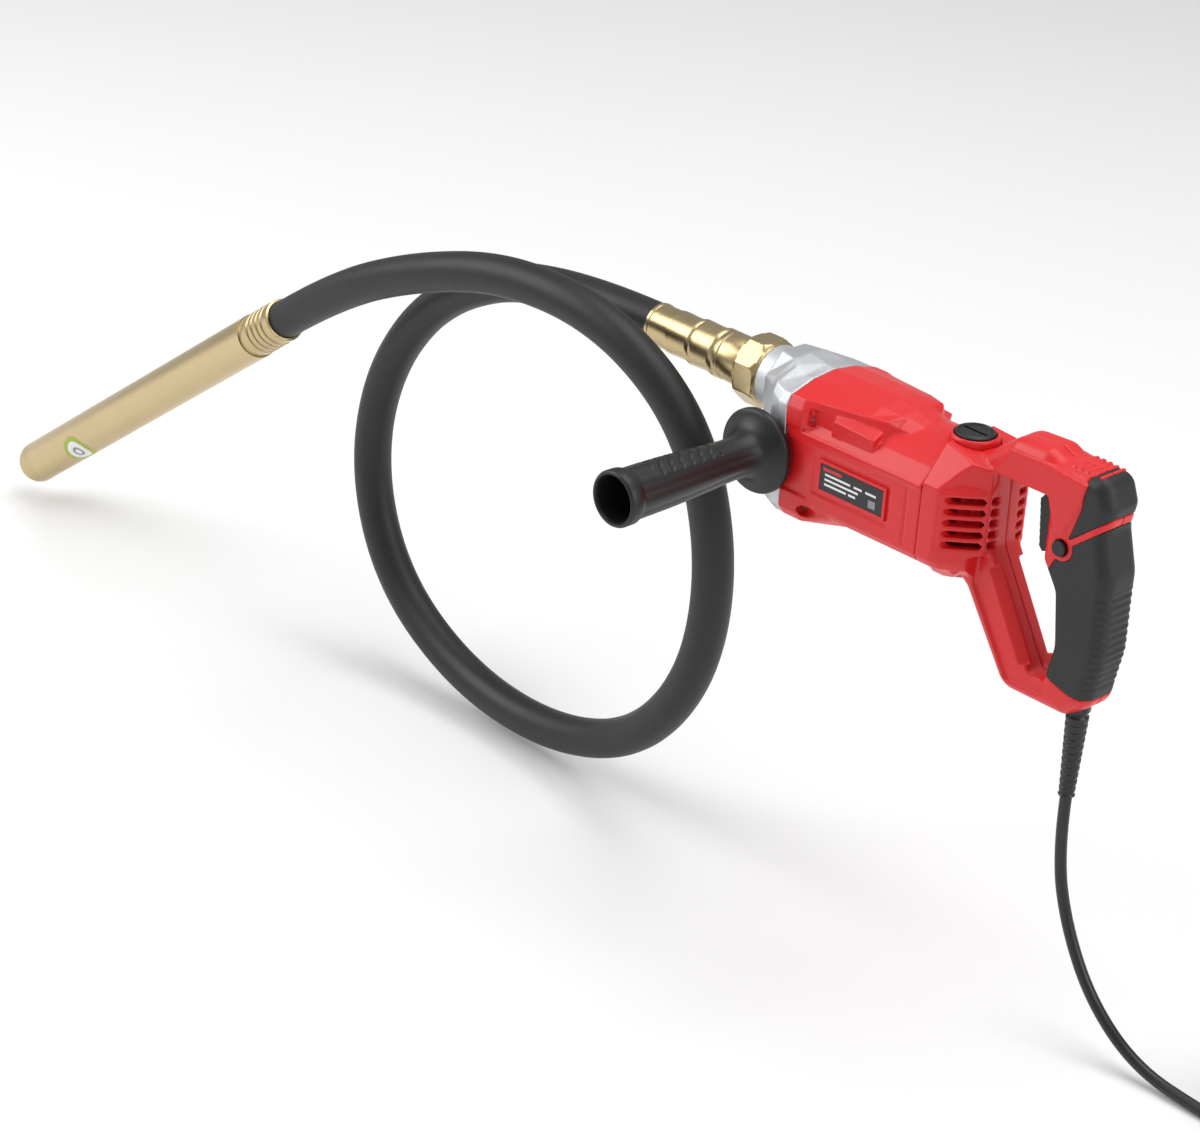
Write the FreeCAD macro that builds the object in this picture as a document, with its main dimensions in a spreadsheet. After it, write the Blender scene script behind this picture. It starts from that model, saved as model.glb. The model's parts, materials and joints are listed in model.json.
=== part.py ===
import FreeCAD, Part
import math
import os
import re
import Sketcher
from FreeCAD import Placement, Rotation, Vector

# Electric hand-held concrete vibrator: motor unit with a D-handle, a rubber hose with a flexible
# core, and a vibrating needle.  Millimetres.  The sizes below are in the machine frame: X runs
# from the hose to the D-handle along the output axis, Z is up, and the coupling nut is at x = 0.
# Every sub-part is placed at the end so that the origin is the middle of the hand grip.

SIZES = {
    # fits
    "seat_gap": 0.1, "shaft_gap": 0.04, "free_gap": 0.4, "wall": 3.0,
    # hand grip centre, and the motor axis below the output axis
    "grip_place": 290.0, "grip_drop": 60.0, "axis_drop": 27.0,
    # gear case
    "neck_radius": 22.0, "neck_start": 12.0, "neck_end": 24.0, "shoulder_place": 38.0,
    "dome_radius": 25.0, "dome_start": 40.0, "flange_start": 52.0, "case_end": 60.0,
    "spigot_radius": 16.0, "spigot_start": -6.0, "spindle_hole": 7.5,
    # motor housing
    "half_width": 42.0, "housing_top": 18.0, "housing_bottom": 72.0, "housing_end": 177.0,
    "screw_boss_length": 26.0,
    # bearings: outer radius, width, bore radius, place
    "spindle_front_outer": 16.0, "spindle_front_width": 10.0, "spindle_radius": 6.0,
    "spindle_front_place": 18.0,
    "spindle_rear_outer": 11.0, "spindle_rear_width": 7.0, "spindle_tail_radius": 4.0,
    "spindle_rear_place": 57.0,
    "motor_front_outer": 13.0, "motor_front_width": 8.0, "shaft_radius": 5.0,
    "motor_front_place": 66.0,
    "motor_rear_outer": 11.0, "motor_rear_width": 7.0, "shaft_tail_radius": 4.0,
    "motor_rear_place": 196.0,
    # gears
    "gear_module": 1.5, "pinion_teeth": 10, "gear_teeth": 26, "gear_start": 43.0, "gear_width": 10.0,
    "gear_room": 1.0,
    # motor
    "plate_radius": 34.0, "plate_start": 56.0, "plate_width": 9.0, "hub_radius": 16.5,
    "stator_radius": 36.0, "stator_bore": 22.0, "stator_start": 94.0, "stator_length": 54.0,
    "core_radius": 21.3, "core_start": 96.0, "core_length": 50.0, "shaft_start": 41.0,
    "shaft_end": 202.5, "coil_radius": 19.0, "coil_length": 8.0,
    "commutator_radius": 13.0, "commutator_start": 169.0, "commutator_length": 20.0,
    "fan_radius": 33.0, "fan_start": 78.0, "fan_width": 10.0,
    "carrier_radius": 27.0, "carrier_bore": 24.5, "carrier_start": 150.0, "carrier_end": 196.0,
    "brush_place": 181.0, "brush_width": 8.0, "brush_depth": 6.0, "brush_length": 20.0,
    "holder_wall": 1.5, "brush_boss_radius": 16.0, "cap_radius": 13.5, "cap_height": 10.0,
    "cap_reach": 49.0,
    # D-handle
    "handle_half_width": 17.0, "handle_wall": 5.5, "handle_round": 10.0, "opening_round": 6.0,
    "rubber": 2.2, "post_radius": 4.5, "post_inset": 4.0, "shell_split": 0.05,
    "vent_pitch": 8.0, "vent_height": 3.6, "vent_start": 197.0,
    "tail_start": 190.0, "tail_end": 213.0,
    # trigger, lock button and switch
    "trigger_half_width": 7.5, "pivot_place": 263.0, "pivot_height": 0.0, "pivot_radius": 1.5,
    "button_radius": 5.0, "button_place": 270.0, "button_drop": 21.0, "button_length": 8.0,
    "button_proud": 2.6, "switch_length": 18.0, "switch_height": 34.0, "switch_behind": 16.0,
    "clamp_length": 12.0, "clamp_height": 5.0, "clamp_drop": 118.0,
    # cord, strain relief and plug
    "cord_radius": 4.0, "relief_radius": 8.0, "relief_sleeve": 5.0, "relief_top": -131.0,
    "relief_bottom": -193.0, "coil_middle": 45.0, "plug_length": 46.0, "plug_width": 38.0,
    "plug_height": 24.0, "pin_radius": 2.4, "pin_length": 19.0, "pin_pitch": 19.0,
    "plug_gap": 30.4, "relief_collar": 15.0, "relief_inside": 9.0, "relief_cone": 18.0,
    "boot_length": 24.0, "boot_radius": 6.5,
    # hose, ferrule and nut
    "hose_radius": 14.5, "hose_bore": 8.0, "core_wire_radius": 5.0, "tang_radius": 3.0,
    "ferrule_start": -102.5, "ferrule_radius": 14.8, "ferrule_step": 0.8, "ferrule_bore": 6.5,
    "ferrule_band": 22.0, "ferrule_head": 17.2, "nut_flats": 46.0, "nut_start": -12.0,
    "nut_length": 22.0,
    # needle
    "needle_radius": 17.5, "needle_bore": 14.0, "needle_length": 421.0, "socket_length": 42.0,
    "socket_radius": 16.6, "tip_length": 26.0, "tip_round": 14.0, "spigot_length": 18.0,
    "needle_bearing": 8.0,
    "journal_radius": 6.0, "weight_radius": 12.5, "weight_offset": 1.5,
    # side handle
    "side_place": 42.0, "side_drop": 30.0, "side_stand": 4.0, "stud_radius": 5.0,
    "stud_length": 44.0, "flange_radius": 29.0, "flange_width": 14.0, "side_length": 133.0,
    "side_neck": 14.0, "side_end": 19.0, "side_bore": 15.5, "side_bore_depth": 40.0,
    # label
    "label_length": 54.0, "label_width": 18.0, "label_place": 93.0, "label_drop": 31.0,
    "label_thick": 1.0,
    # fasteners
    "screw_radius": 2.4, "screw_head": 4.2, "screw_head_height": 3.2, "housing_screw_length": 26.0,
    "handle_screw_length": 22.0, "head_recess": 0.6,
}

doc = FreeCAD.newDocument("concrete_vibrator")
sheet = doc.addObject("Spreadsheet::Sheet", "dims")
for row, (alias, size) in enumerate(SIZES.items(), start=1):
    sheet.set("A%d" % row, alias.replace("_", " "))
    sheet.set("B%d" % row, str(size))
    sheet.setAlias("B%d" % row, alias)
doc.recompute()

X, Y, Z = Vector(1, 0, 0), Vector(0, 1, 0), Vector(0, 0, 1)
GRIP = Vector(sheet.grip_place, 0, -sheet.grip_drop)
TO_GRIP = Placement(-GRIP, Rotation())
MOTOR = Vector(0, 0, -sheet.axis_drop)
SIDE_FACE = sheet.half_width + sheet.side_stand
HEAD_SEAT = sheet.handle_half_width - sheet.screw_head_height - sheet.head_recess
sub_parts = []


# ---------- helpers ----------

def bind(feature, **links):
    """Tie properties to sheet cells: each value is an expression of the sheet's aliases."""
    for name, text in links.items():
        linked = re.sub(r"[a-z][a-z_0-9]*", lambda m: "dims." + m.group(), text)
        feature.setExpression(name, linked)


def rod(name, radius, length, start, along=X):
    """A cylinder whose first face is centred on start."""
    feature = doc.addObject("Part::Cylinder", name)
    bind(feature, Radius=radius, Height=length)
    feature.Placement = Placement(start, Rotation(Z, along))
    return feature


def taper(name, radius, end_radius, length, start, along=X):
    """A cone frustum from radius at start to end_radius."""
    feature = doc.addObject("Part::Cone", name)
    bind(feature, Radius1=radius, Radius2=end_radius, Height=length)
    feature.Placement = Placement(start, Rotation(Z, along))
    return feature


def block(name, length, width, height, middle):
    """A box centred on middle."""
    feature = doc.addObject("Part::Box", name)
    bind(feature, Length=length, Width=width, Height=height)
    doc.recompute()
    half = Vector(feature.Length.Value, feature.Width.Value, feature.Height.Value) * 0.5
    feature.Placement = Placement(middle - half, Rotation())
    return feature


def fuse(name, *features):
    feature = doc.addObject("Part::MultiFuse", name)
    feature.Shapes = list(features)
    return feature


def cut(name, base, *tools):
    feature = doc.addObject("Part::Cut", name)
    feature.Base = base
    feature.Tool = tools[0] if len(tools) == 1 else fuse(name + "_tools", *tools)
    return feature


def solid(name, shape):
    """A free-form piece, whose shape is worked out from the sheet's values."""
    feature = doc.addObject("Part::Feature", name)
    feature.Shape = shape
    return feature


def keep(feature, label, frame=None):
    """Name a finished sub-part and carry it from its own frame to the grip's frame."""
    doc.recompute()
    feature.Label = label
    feature.Placement = TO_GRIP.multiply(frame or Placement()).multiply(feature.Placement)
    sub_parts.append(feature)
    return feature


def at(x, z=0.0, y=0.0):
    return Vector(x, y, z)


def on_motor(x):
    return Vector(x, 0, 0) + MOTOR


def prism(points, start, along):
    """A polygon of 3-D points, swept along a vector."""
    face = Part.Face(Part.makePolygon([p + start for p in points + points[:1]]))
    return face.extrude(along)


def rounded_wire(corners):
    """A closed outline in the XZ plane: corners of (x, z, radius), each rounded by a tangent arc."""
    edges, previous_end, first_start = [], None, None
    count = len(corners)
    for index in range(count):
        here = Vector(corners[index][0], 0, corners[index][1])
        before = Vector(corners[index - 1][0], 0, corners[index - 1][1]) - here
        after_corner = corners[(index + 1) % count]
        after = Vector(after_corner[0], 0, after_corner[1]) - here
        before.normalize()
        after.normalize()
        half = before.getAngle(after) / 2
        reach = corners[index][2] / math.tan(half)
        start, end = here + before * reach, here + after * reach
        bisector = (before + after).normalize()
        middle = here + bisector * (corners[index][2] / math.sin(half) - corners[index][2])
        if previous_end is not None and (start - previous_end).Length > 1e-6:
            edges.append(Part.LineSegment(previous_end, start).toShape())
        edges.append(Part.Arc(start, middle, end).toShape())
        previous_end = end
        first_start = first_start or start
    edges.append(Part.LineSegment(previous_end, first_start).toShape())
    return Part.Wire(edges)


def route_wire(points, label):
    """Straight runs joined by tangent arcs, each as large as its two runs allow."""
    edges, start = [], points[0]
    radii = []
    for before, here, after in zip(points, points[1:], points[2:]):
        arrive, leave = here - before, after - here
        turn = arrive.getAngle(leave)
        reach = 0.45 * min(arrive.Length, leave.Length)
        radii.append(reach / math.tan(turn / 2))
        arrive.normalize()
        leave.normalize()
        arc_start, arc_end = here - arrive * reach, here + leave * reach
        inward = (leave - arrive).normalize()
        bulge = radii[-1] / math.cos(turn / 2) - radii[-1]
        edges.append(Part.LineSegment(start, arc_start).toShape())
        edges.append(Part.Arc(arc_start, here + inward * bulge, arc_end).toShape())
        start = arc_end
    edges.append(Part.LineSegment(start, points[-1]).toShape())
    wire = Part.Wire(edges)
    print("%s: %.0f mm long, radii %s" % (label, wire.Length, [round(r) for r in radii]))
    return wire


def tube(wire, radius, label):
    """A round section swept along a route, with its volume compared with section times length."""
    start = wire.Edges[0]
    tangent = start.tangentAt(start.FirstParameter)
    ring = Part.Wire(Part.makeCircle(radius, start.Vertexes[0].Point, tangent))
    shape = wire.makePipeShell([ring], True, False)
    print("%s: volume ratio %.4f" % (label, shape.Volume / (math.pi * radius ** 2 * wire.Length)))
    return shape


def involute(angle):
    return math.tan(angle) - angle


def gear_shape(teeth, bore_radius, start, width, first_tooth):
    """A spur gear with its axis along X through start, and a tooth centred on first_tooth."""
    pressure = math.radians(25)
    pitch = sheet.gear_module * teeth / 2
    base = pitch * math.cos(pressure)
    root, tip = pitch - 1.25 * sheet.gear_module, pitch + 0.9 * sheet.gear_module
    backlash = 0.12
    half_pitch_angle = math.pi / (2 * teeth) - backlash / pitch
    levels = [root] + [max(base, root) + (tip - max(base, root)) * share for share in (0, 0.3, 0.65, 1)]
    flank = []
    for radius in levels:
        roll = math.acos(min(1.0, base / radius))
        flank.append((radius, half_pitch_angle + involute(pressure) - involute(roll)))
    points = []
    for tooth in range(teeth):
        centre = first_tooth + 2 * math.pi * tooth / teeth
        sides = [(r, centre - a) for r, a in flank] + [(r, centre + a) for r, a in reversed(flank)]
        points += [Vector(0, r * math.cos(a), r * math.sin(a)) for r, a in sides]
    blank = prism(points, start, X * width)
    return blank.cut(Part.makeCylinder(bore_radius, width, start, X))


# ---------- gear case and motor housing ----------

def octagon(width, top, bottom, side_top, side_bottom, top_flat, bottom_flat):
    """Eight corners in the YZ plane, from the +Y side's upper corner, counter-clockwise."""
    return [Vector(0, width, side_top), Vector(0, top_flat, top), Vector(0, -top_flat, top),
            Vector(0, -width, side_top), Vector(0, -width, side_bottom), Vector(0, -bottom_flat, bottom),
            Vector(0, bottom_flat, bottom), Vector(0, width, side_bottom)]


def housing_outline(inset=0.0):
    """The motor housing's section: flat sides 44 high, sloped to narrower flats above and below."""
    side = 22.0 - inset * 0.4
    flat = 22.0 - inset * 0.4
    return octagon(sheet.half_width - inset, sheet.housing_top - inset, -sheet.housing_bottom + inset,
                   side - sheet.axis_drop, -side - sheet.axis_drop, flat, flat)


def flange_outline():
    """The square joint face between the gear case and the motor housing, with its low arch."""
    return octagon(sheet.half_width, sheet.housing_top, -sheet.housing_bottom + 3, 8, -60, 20, 34)


FLANGE_SCREWS = [(36, 1.5), (-36, 1.5), (36, -60.5), (-36, -60.5)]
HANDLE_SCREWS = [(238, 24), (275, 23), (222, -98), (262, -124)]


def screw_holes(start, length, radius):
    return [Part.makeCylinder(radius, length, Vector(start, y, z), X) for y, z in FLANGE_SCREWS]


def closed(points, x):
    return Part.makePolygon([p + at(x) for p in points + points[:1]])


def make_gear_case():
    neck = sheet.neck_radius
    corner = neck * math.tan(math.pi / 8)
    neck_outline = octagon(neck, neck, -neck, corner, -corner, corner, corner)
    shoulder_outline = octagon(33, 21, -58, 9, -46, 16, 24)
    outer = Part.makeLoft([closed(neck_outline, sheet.neck_end), closed(shoulder_outline,
                          sheet.shoulder_place), closed(flange_outline(), sheet.flange_start),
                          closed(flange_outline(), sheet.case_end)], True, True)
    side_boss = Part.makeCylinder(15, 2 * SIDE_FACE, Vector(sheet.side_place, -SIDE_FACE,
                                  -sheet.side_drop), Y)
    outer = outer.multiFuse([
        Part.makeCylinder(neck, sheet.dome_start - sheet.neck_start, at(sheet.neck_start), X),
        Part.makeCylinder(sheet.dome_radius, sheet.case_end - sheet.dome_start, at(sheet.dome_start), X),
        Part.makeCone(neck, sheet.dome_radius, 10, at(sheet.dome_start - 10), X),
        Part.makeCylinder(sheet.spigot_radius - sheet.seat_gap, sheet.neck_start - sheet.spigot_start,
                          at(sheet.spigot_start), X),
        side_boss])
    pocket = sheet.spindle_front_outer + sheet.seat_gap
    tip = sheet.gear_module * (sheet.gear_teeth / 2 + 0.9) + sheet.gear_room
    pinion_tip = sheet.gear_module * (sheet.pinion_teeth / 2 + 0.9) + 2 * sheet.gear_room
    cavity_start = sheet.gear_start - 2
    seat = sheet.plate_radius + sheet.seat_gap
    holes = [
        Part.makeCylinder(sheet.spindle_hole, 60, at(sheet.spigot_start - 1), X),
        Part.makeCylinder(pocket, sheet.case_end, at(sheet.spindle_front_place), X),
        Part.makeCylinder(tip, sheet.case_end, at(cavity_start), X),
        Part.makeCylinder(pinion_tip, sheet.case_end, on_motor(cavity_start - 3), X),
        Part.makeCylinder(seat, sheet.case_end, on_motor(sheet.plate_start), X)]
    for side in (1, -1):
        face = Vector(sheet.side_place, side * (SIDE_FACE + 1), -sheet.side_drop)
        holes.append(Part.makeCylinder(sheet.stud_radius, 19, face, Y * -side))
    holes += screw_holes(sheet.flange_start - 14, 15, sheet.screw_head + 0.3)
    holes += screw_holes(sheet.flange_start, 20, sheet.screw_radius + sheet.seat_gap)
    return outer.cut(holes[0].multiFuse(holes[1:]))


keep(solid("gear_case", make_gear_case()), "gear_case")


def make_motor_housing():
    front = sheet.case_end
    body = prism(housing_outline(), at(front), X * (sheet.housing_end - front))
    collar = prism(flange_outline(), at(front), X * 6)
    pieces = [collar]
    for side in (1, -1):
        for height, z in ((13, -5), (-15, -53)):
            low = min(z, z + height)
            corner = Vector(front, side * sheet.half_width - (12 if side > 0 else 0), low)
            boss = Part.makeBox(sheet.screw_boss_length, 12, abs(height), corner)
            pieces.append(boss)
    carrier_length = sheet.carrier_end - sheet.carrier_start
    pieces.append(Part.makeCylinder(sheet.carrier_radius, carrier_length,
                                    on_motor(sheet.carrier_start), X))
    hub_end = sheet.motor_rear_place + sheet.motor_rear_width
    hub = sheet.motor_rear_outer + 3
    pieces.append(Part.makeCylinder(hub, hub_end - sheet.carrier_end + 2,
                                    on_motor(sheet.carrier_end - 2), X))
    boss_reach = sheet.cap_reach - 1.5
    for side in (1, -1):
        pieces.append(Part.makeCylinder(sheet.brush_boss_radius, boss_reach,
                                        on_motor(sheet.brush_place), Z * side))
    body = body.multiFuse(pieces)
    end_wall = 2.5
    holes = [
        Part.makeCylinder(sheet.stator_radius + sheet.seat_gap, sheet.carrier_start - front,
                          on_motor(front), X),
        Part.makeCylinder(sheet.carrier_bore, sheet.carrier_end - end_wall - sheet.carrier_start,
                          on_motor(sheet.carrier_start), X),
        Part.makeCylinder(sheet.shaft_tail_radius + 3, 20, on_motor(sheet.carrier_end - 5), X),
        Part.makeCylinder(sheet.motor_rear_outer + sheet.seat_gap, 20, on_motor(sheet.motor_rear_place), X),
        Part.makeCylinder(14 + sheet.free_gap, 8, at(front), X)]
    width = sheet.brush_width + 2 * sheet.holder_wall + 2 * sheet.seat_gap
    depth = sheet.brush_depth + 2 * sheet.holder_wall + 2 * sheet.seat_gap
    cap_seat = sheet.cap_reach - sheet.cap_height
    for side in (1, -1):
        slot = Part.makeBox(depth, width, 60, Vector(sheet.brush_place - depth / 2, -width / 2, 0))
        slot.Placement = Placement(MOTOR, Rotation(X, 0 if side > 0 else 180)).multiply(slot.Placement)
        holes.append(slot)
        holes.append(Part.makeCylinder(sheet.cap_radius - 2 + sheet.seat_gap, 30,
                                       on_motor(sheet.brush_place) + Z * side * cap_seat, Z * side))
    holes += screw_holes(front - 1, 21, sheet.screw_radius + sheet.seat_gap)
    recess = Part.makeBox(sheet.label_length + 10, sheet.label_thick + 1, sheet.label_width + 8,
                          Vector(sheet.label_place - 5, -sheet.half_width - 1,
                                 -sheet.label_drop - sheet.label_width / 2 - 4))
    holes.append(recess)
    return body.cut(holes[0].multiFuse(holes[1:]))


keep(solid("motor_housing", make_motor_housing()), "motor_housing")


# ---------- D-handle shells and rubber ----------

HANDLE_OUTSIDE = [(183, 12, 8), (201, 17, 8), (224, 35.4, 14), (250, 36.5, 12), (258, 32.5, 12),
                  (296, 31.5, 11), (303, 14, 9), (300, -2, 14), (308, -30, 30), (309.5, -84, 40),
                  (303, -121, 14), (286, -133, 10), (236, -133, 16), (198, -77, 10), (183, -66, 8)]
HANDLE_OPENING = [(213.5, 10.5, 5), (256, 10.5, 6), (256, -34, 8), (268, -52, 14), (273, -88, 24),
                  (268, -114.5, 5), (256, -114.5, 6), (215, -44, 10)]


def handle_solid(inset):
    """The D-handle's loop, shrunk all round by inset; its edges are rounded unless it is a cavity."""
    half = sheet.handle_half_width - inset
    outside = Part.Face(rounded_wire(HANDLE_OUTSIDE))
    opening = Part.Face(rounded_wire(HANDLE_OPENING))
    if inset:
        outside = outside.makeOffset2D(-inset)
        opening = opening.makeOffset2D(inset)
    loop = outside.cut(opening)
    loop.translate(Y * -half)
    shape = loop.extrude(Y * 2 * half).Solids[0]
    if inset >= sheet.handle_wall:
        return shape
    rims = {True: [], False: []}
    for edge in shape.Edges:
        if abs(abs(edge.CenterOfMass.y) - half) < 1e-3:
            middle = edge.valueAt((edge.FirstParameter + edge.LastParameter) / 2)
            flat_middle = Part.Vertex(Vector(middle.x, 0, middle.z))
            rims[opening.distToShape(flat_middle)[0] < 0.05].append(edge)
    shape = shape.makeFillet(sheet.handle_round - inset, rims[False])
    inner = [e for e in shape.Edges if abs(abs(e.CenterOfMass.y) - half) < 1e-3 and opening.distToShape(
        Part.Vertex(Vector(e.valueAt((e.FirstParameter + e.LastParameter) / 2).x, 0,
                           e.valueAt((e.FirstParameter + e.LastParameter) / 2).z)))[0] < 0.05]
    return shape.makeFillet(sheet.opening_round - inset, inner)


def tail_solid(inset):
    """The motor end of the handle shells: the housing's section, drawn in to the handle's width."""
    start, end = sheet.housing_end, sheet.tail_end - inset
    section = prism(housing_outline(inset), at(start), X * (end - start))
    wide, narrow = sheet.half_width - inset, sheet.handle_half_width + 1 - inset
    middle = (sheet.tail_start + sheet.tail_end) / 2 - 3 - inset
    plan = [(start, wide), (sheet.tail_start - inset * 0.5, wide), (middle, wide - 11), (end, narrow)]
    outline = [Vector(x, y, -100) for x, y in plan] + [Vector(x, -y, -100) for x, y in reversed(plan)]
    top, bottom = sheet.housing_top - inset, -sheet.housing_bottom + inset
    side = [(start, top), (tail_mid(), top - 3), (end, top - 8), (end, bottom + 22), (tail_mid(), bottom + 4),
            (sheet.tail_start - 4, bottom), (start, bottom)]
    side_outline = [Vector(x, -60, z) for x, z in side]
    return section.common(prism(outline, at(0), Z * 200)).common(prism(side_outline, at(0), Y * 120))


def tail_mid():
    return (sheet.tail_start + sheet.tail_end) / 2 - 5


def rubber_region(grow):
    """What the rubber covers: the back, the corner and the whole grip below the trigger."""
    outline = [(283 - grow, 60), (330, 60), (330, -117 - grow), (290, -115 - grow), (262, -107 - grow),
               (259, -107 - grow), (259, -60), (250, -38 + grow), (263 - grow, -38 + grow), (276 - grow, -10),
               (282 - grow, 10)]
    region = prism([Vector(x, -40, z) for x, z in outline], at(0), Y * 80)
    button = Vector(sheet.button_place, -50, -sheet.button_drop)
    ring = Part.makeCylinder(9 - grow, 50, button, Y)
    across = Vector(34, 0, 28).normalize()
    up = Vector(-across.z, 0, across.x)
    strip_half = 2.2 - grow
    corners = [button + up * strip_half, button - up * strip_half, button - up * strip_half + across * 60,
               button + up * strip_half + across * 60]
    strip = prism(corners, at(0), Y * 100)
    return region.cut(ring).cut(strip)


relief_place = sheet.grip_place - 2
full_handle = handle_solid(0)
rubber = full_handle.cut(handle_solid(sheet.rubber)).common(rubber_region(0))
rubber_pieces = sorted(rubber.Solids, key=lambda piece: -piece.Volume)


def make_shells():
    shell = full_handle.fuse(tail_solid(0))
    shell = shell.cut(handle_solid(sheet.handle_wall)).cut(tail_solid(sheet.wall))
    post_half = sheet.handle_half_width - sheet.post_inset
    posts = [Part.makeCylinder(sheet.post_radius, 2 * post_half, Vector(x, -post_half, z), Y)
             for x, z in HANDLE_SCREWS]
    shell = shell.multiFuse(posts)
    groove = rubber_region(sheet.seat_gap).cut(handle_solid(sheet.rubber + sheet.seat_gap))
    shell = shell.cut(groove)
    gap = sheet.seat_gap
    boss = sheet.brush_boss_radius + sheet.free_gap
    slot_width = 2 * (sheet.trigger_half_width + sheet.free_gap)
    holes = [
        Part.makeBox(200, 200, 300, Vector(sheet.housing_end + gap - 200, -100, -200)),
        Part.makeCylinder(sheet.carrier_radius + sheet.free_gap, sheet.carrier_end + 0.5,
                          on_motor(0), X),
        Part.makeCylinder(boss, 120, on_motor(sheet.brush_place) - Z * 60, Z),
        Part.makeBox(16, slot_width, 45, Vector(248, -slot_width / 2, -37)),
        Part.makeCylinder(sheet.button_radius + sheet.free_gap, 20,
                          Vector(sheet.button_place, -25, -sheet.button_drop), Y),
        Part.makeCylinder(sheet.relief_radius + gap, 20, Vector(relief_place, 0, -140), Z)]
    for x, z in HANDLE_SCREWS:
        holes.append(Part.makeCylinder(sheet.screw_head + 0.2, 10, Vector(x, HEAD_SEAT, z), Y))
        holes.append(Part.makeCylinder(sheet.screw_radius + gap, sheet.handle_screw_length + 1,
                                       Vector(x, HEAD_SEAT - sheet.handle_screw_length - 0.5, z), Y))
    vent_inner, vent_outer = 12, sheet.half_width + 3
    for index in range(-2, 3):
        for side in (1, -1):
            low = -sheet.axis_drop + sheet.vent_pitch * index - sheet.vent_height / 2
            corner = Vector(sheet.vent_start, vent_inner if side > 0 else -vent_outer, low)
            holes.append(Part.makeBox(20, vent_outer - vent_inner, sheet.vent_height, corner))
    return shell.cut(holes[0].multiFuse(holes[1:]))


shells = make_shells()
half_space = Part.makeBox(400, 100, 400, Vector(0, sheet.shell_split, -250))
left_space = Part.makeBox(400, 100, 400, Vector(0, -100 - sheet.shell_split, -250))
for label, space in (("handle_shell_right", half_space), ("handle_shell_left", left_space)):
    keep(solid(label, shells.common(space)), label)
keep(solid("grip_rubber", rubber_pieces[0]), "grip_rubber")
keep(solid("handle_cap_rubber", rubber_pieces[1]), "handle_cap_rubber")


# ---------- trigger, lock button, switch ----------

TRIGGER_SIDE = [(243, 0), (247, 5), (267, 5), (268.5, -5), (262, -10), (259.5, -31), (249, -34), (246.5, -31)]


def make_trigger():
    half = sheet.trigger_half_width
    blade = prism([Vector(x, -half, z) for x, z in TRIGGER_SIDE], at(0), Y * 2 * half)
    pivot = Vector(sheet.pivot_place, -half - 1, sheet.pivot_height)
    bore = Part.makeCylinder(sheet.pivot_radius + sheet.shaft_gap, 2 * half + 2, pivot, Y)
    return blade.cut(bore)


keep(solid("trigger", make_trigger()), "trigger")
inner_half = sheet.handle_half_width - sheet.handle_wall
pin_reach = inner_half - sheet.seat_gap
keep(rod("trigger_pin", "pivot_radius", "2 * (handle_half_width - handle_wall - seat_gap)",
         Vector(sheet.pivot_place, -pin_reach, sheet.pivot_height), Y), "trigger_pin")

button_start = Vector(sheet.button_place, -sheet.handle_half_width - sheet.button_proud, -sheet.button_drop)
keep(rod("lock_button", "button_radius", "button_length", button_start, Y), "lock_button")

switch_middle = Vector(sheet.button_place + sheet.switch_behind, 0, -24)
keep(block("switch_block", "switch_length", "2 * (handle_half_width - handle_wall - seat_gap)",
           "switch_height", switch_middle), "switch_block")
keep(block("cord_clamp", "clamp_length", "2 * (handle_half_width - handle_wall - seat_gap)",
           "clamp_height", Vector(relief_place - 1, 0, -sheet.clamp_drop)), "cord_clamp")


# ---------- bearings ----------

def bearing(label, start, frame=None):
    """A ball bearing as one ring, with a running fit on its shaft."""
    outer = rod(label + "_outer", label + "_outer", label + "_width", start)
    shaft = {"spindle_front": "spindle_radius", "spindle_rear": "spindle_tail_radius",
             "motor_front": "shaft_radius", "motor_rear": "shaft_tail_radius"}[label]
    bore = rod(label + "_bore", shaft + " + shaft_gap", label + "_width", start)
    keep(cut(label + "_bearing", outer, bore), label + "_bearing", frame)


bearing("spindle_front", at(sheet.spindle_front_place))
bearing("spindle_rear", at(sheet.spindle_rear_place))
bearing("motor_front", on_motor(sheet.motor_front_place))
bearing("motor_rear", on_motor(sheet.motor_rear_place))


def make_bearing_plate():
    start, width = sheet.plate_start, sheet.plate_width
    hub_length = sheet.motor_front_place + sheet.motor_front_width - start
    plate = Part.makeCylinder(sheet.plate_radius, width, on_motor(start), X)
    plate = plate.multiFuse([Part.makeCylinder(sheet.hub_radius, hub_length, on_motor(start), X),
                             Part.makeCylinder(14, width, at(start), X)])
    gap = sheet.seat_gap
    holes = [
        Part.makeCylinder(sheet.spindle_rear_outer + gap, sheet.spindle_rear_width + 2,
                          at(sheet.spindle_rear_place - 1), X),
        Part.makeCylinder(sheet.motor_front_outer + gap, 20, on_motor(sheet.motor_front_place), X),
        Part.makeCylinder(sheet.shaft_radius + 2, 60, on_motor(start - 5), X)]
    return plate.cut(holes[0].multiFuse(holes[1:]))


keep(solid("bearing_plate", make_bearing_plate()), "bearing_plate")

# ---------- motor ----------

stator_outer = rod("stator_outer", "stator_radius", "stator_length", on_motor(sheet.stator_start))
stator_hole = rod("stator_hole", "stator_bore", "stator_length", on_motor(sheet.stator_start))
keep(cut("stator_core", stator_outer, stator_hole), "stator_core")


def make_field_coils():
    rings = []
    front, back = sheet.stator_start, sheet.stator_start + sheet.stator_length
    for start, length in ((front - sheet.coil_length / 2, sheet.coil_length / 2), (back, 2.0)):
        outer = Part.makeCylinder(sheet.stator_radius - 3, length, on_motor(start), X)
        rings.append(outer.cut(Part.makeCylinder(sheet.stator_bore + 2.5, length, on_motor(start), X)))
    return Part.makeCompound(rings)


keep(solid("field_coils", make_field_coils()), "field_coils")

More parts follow.
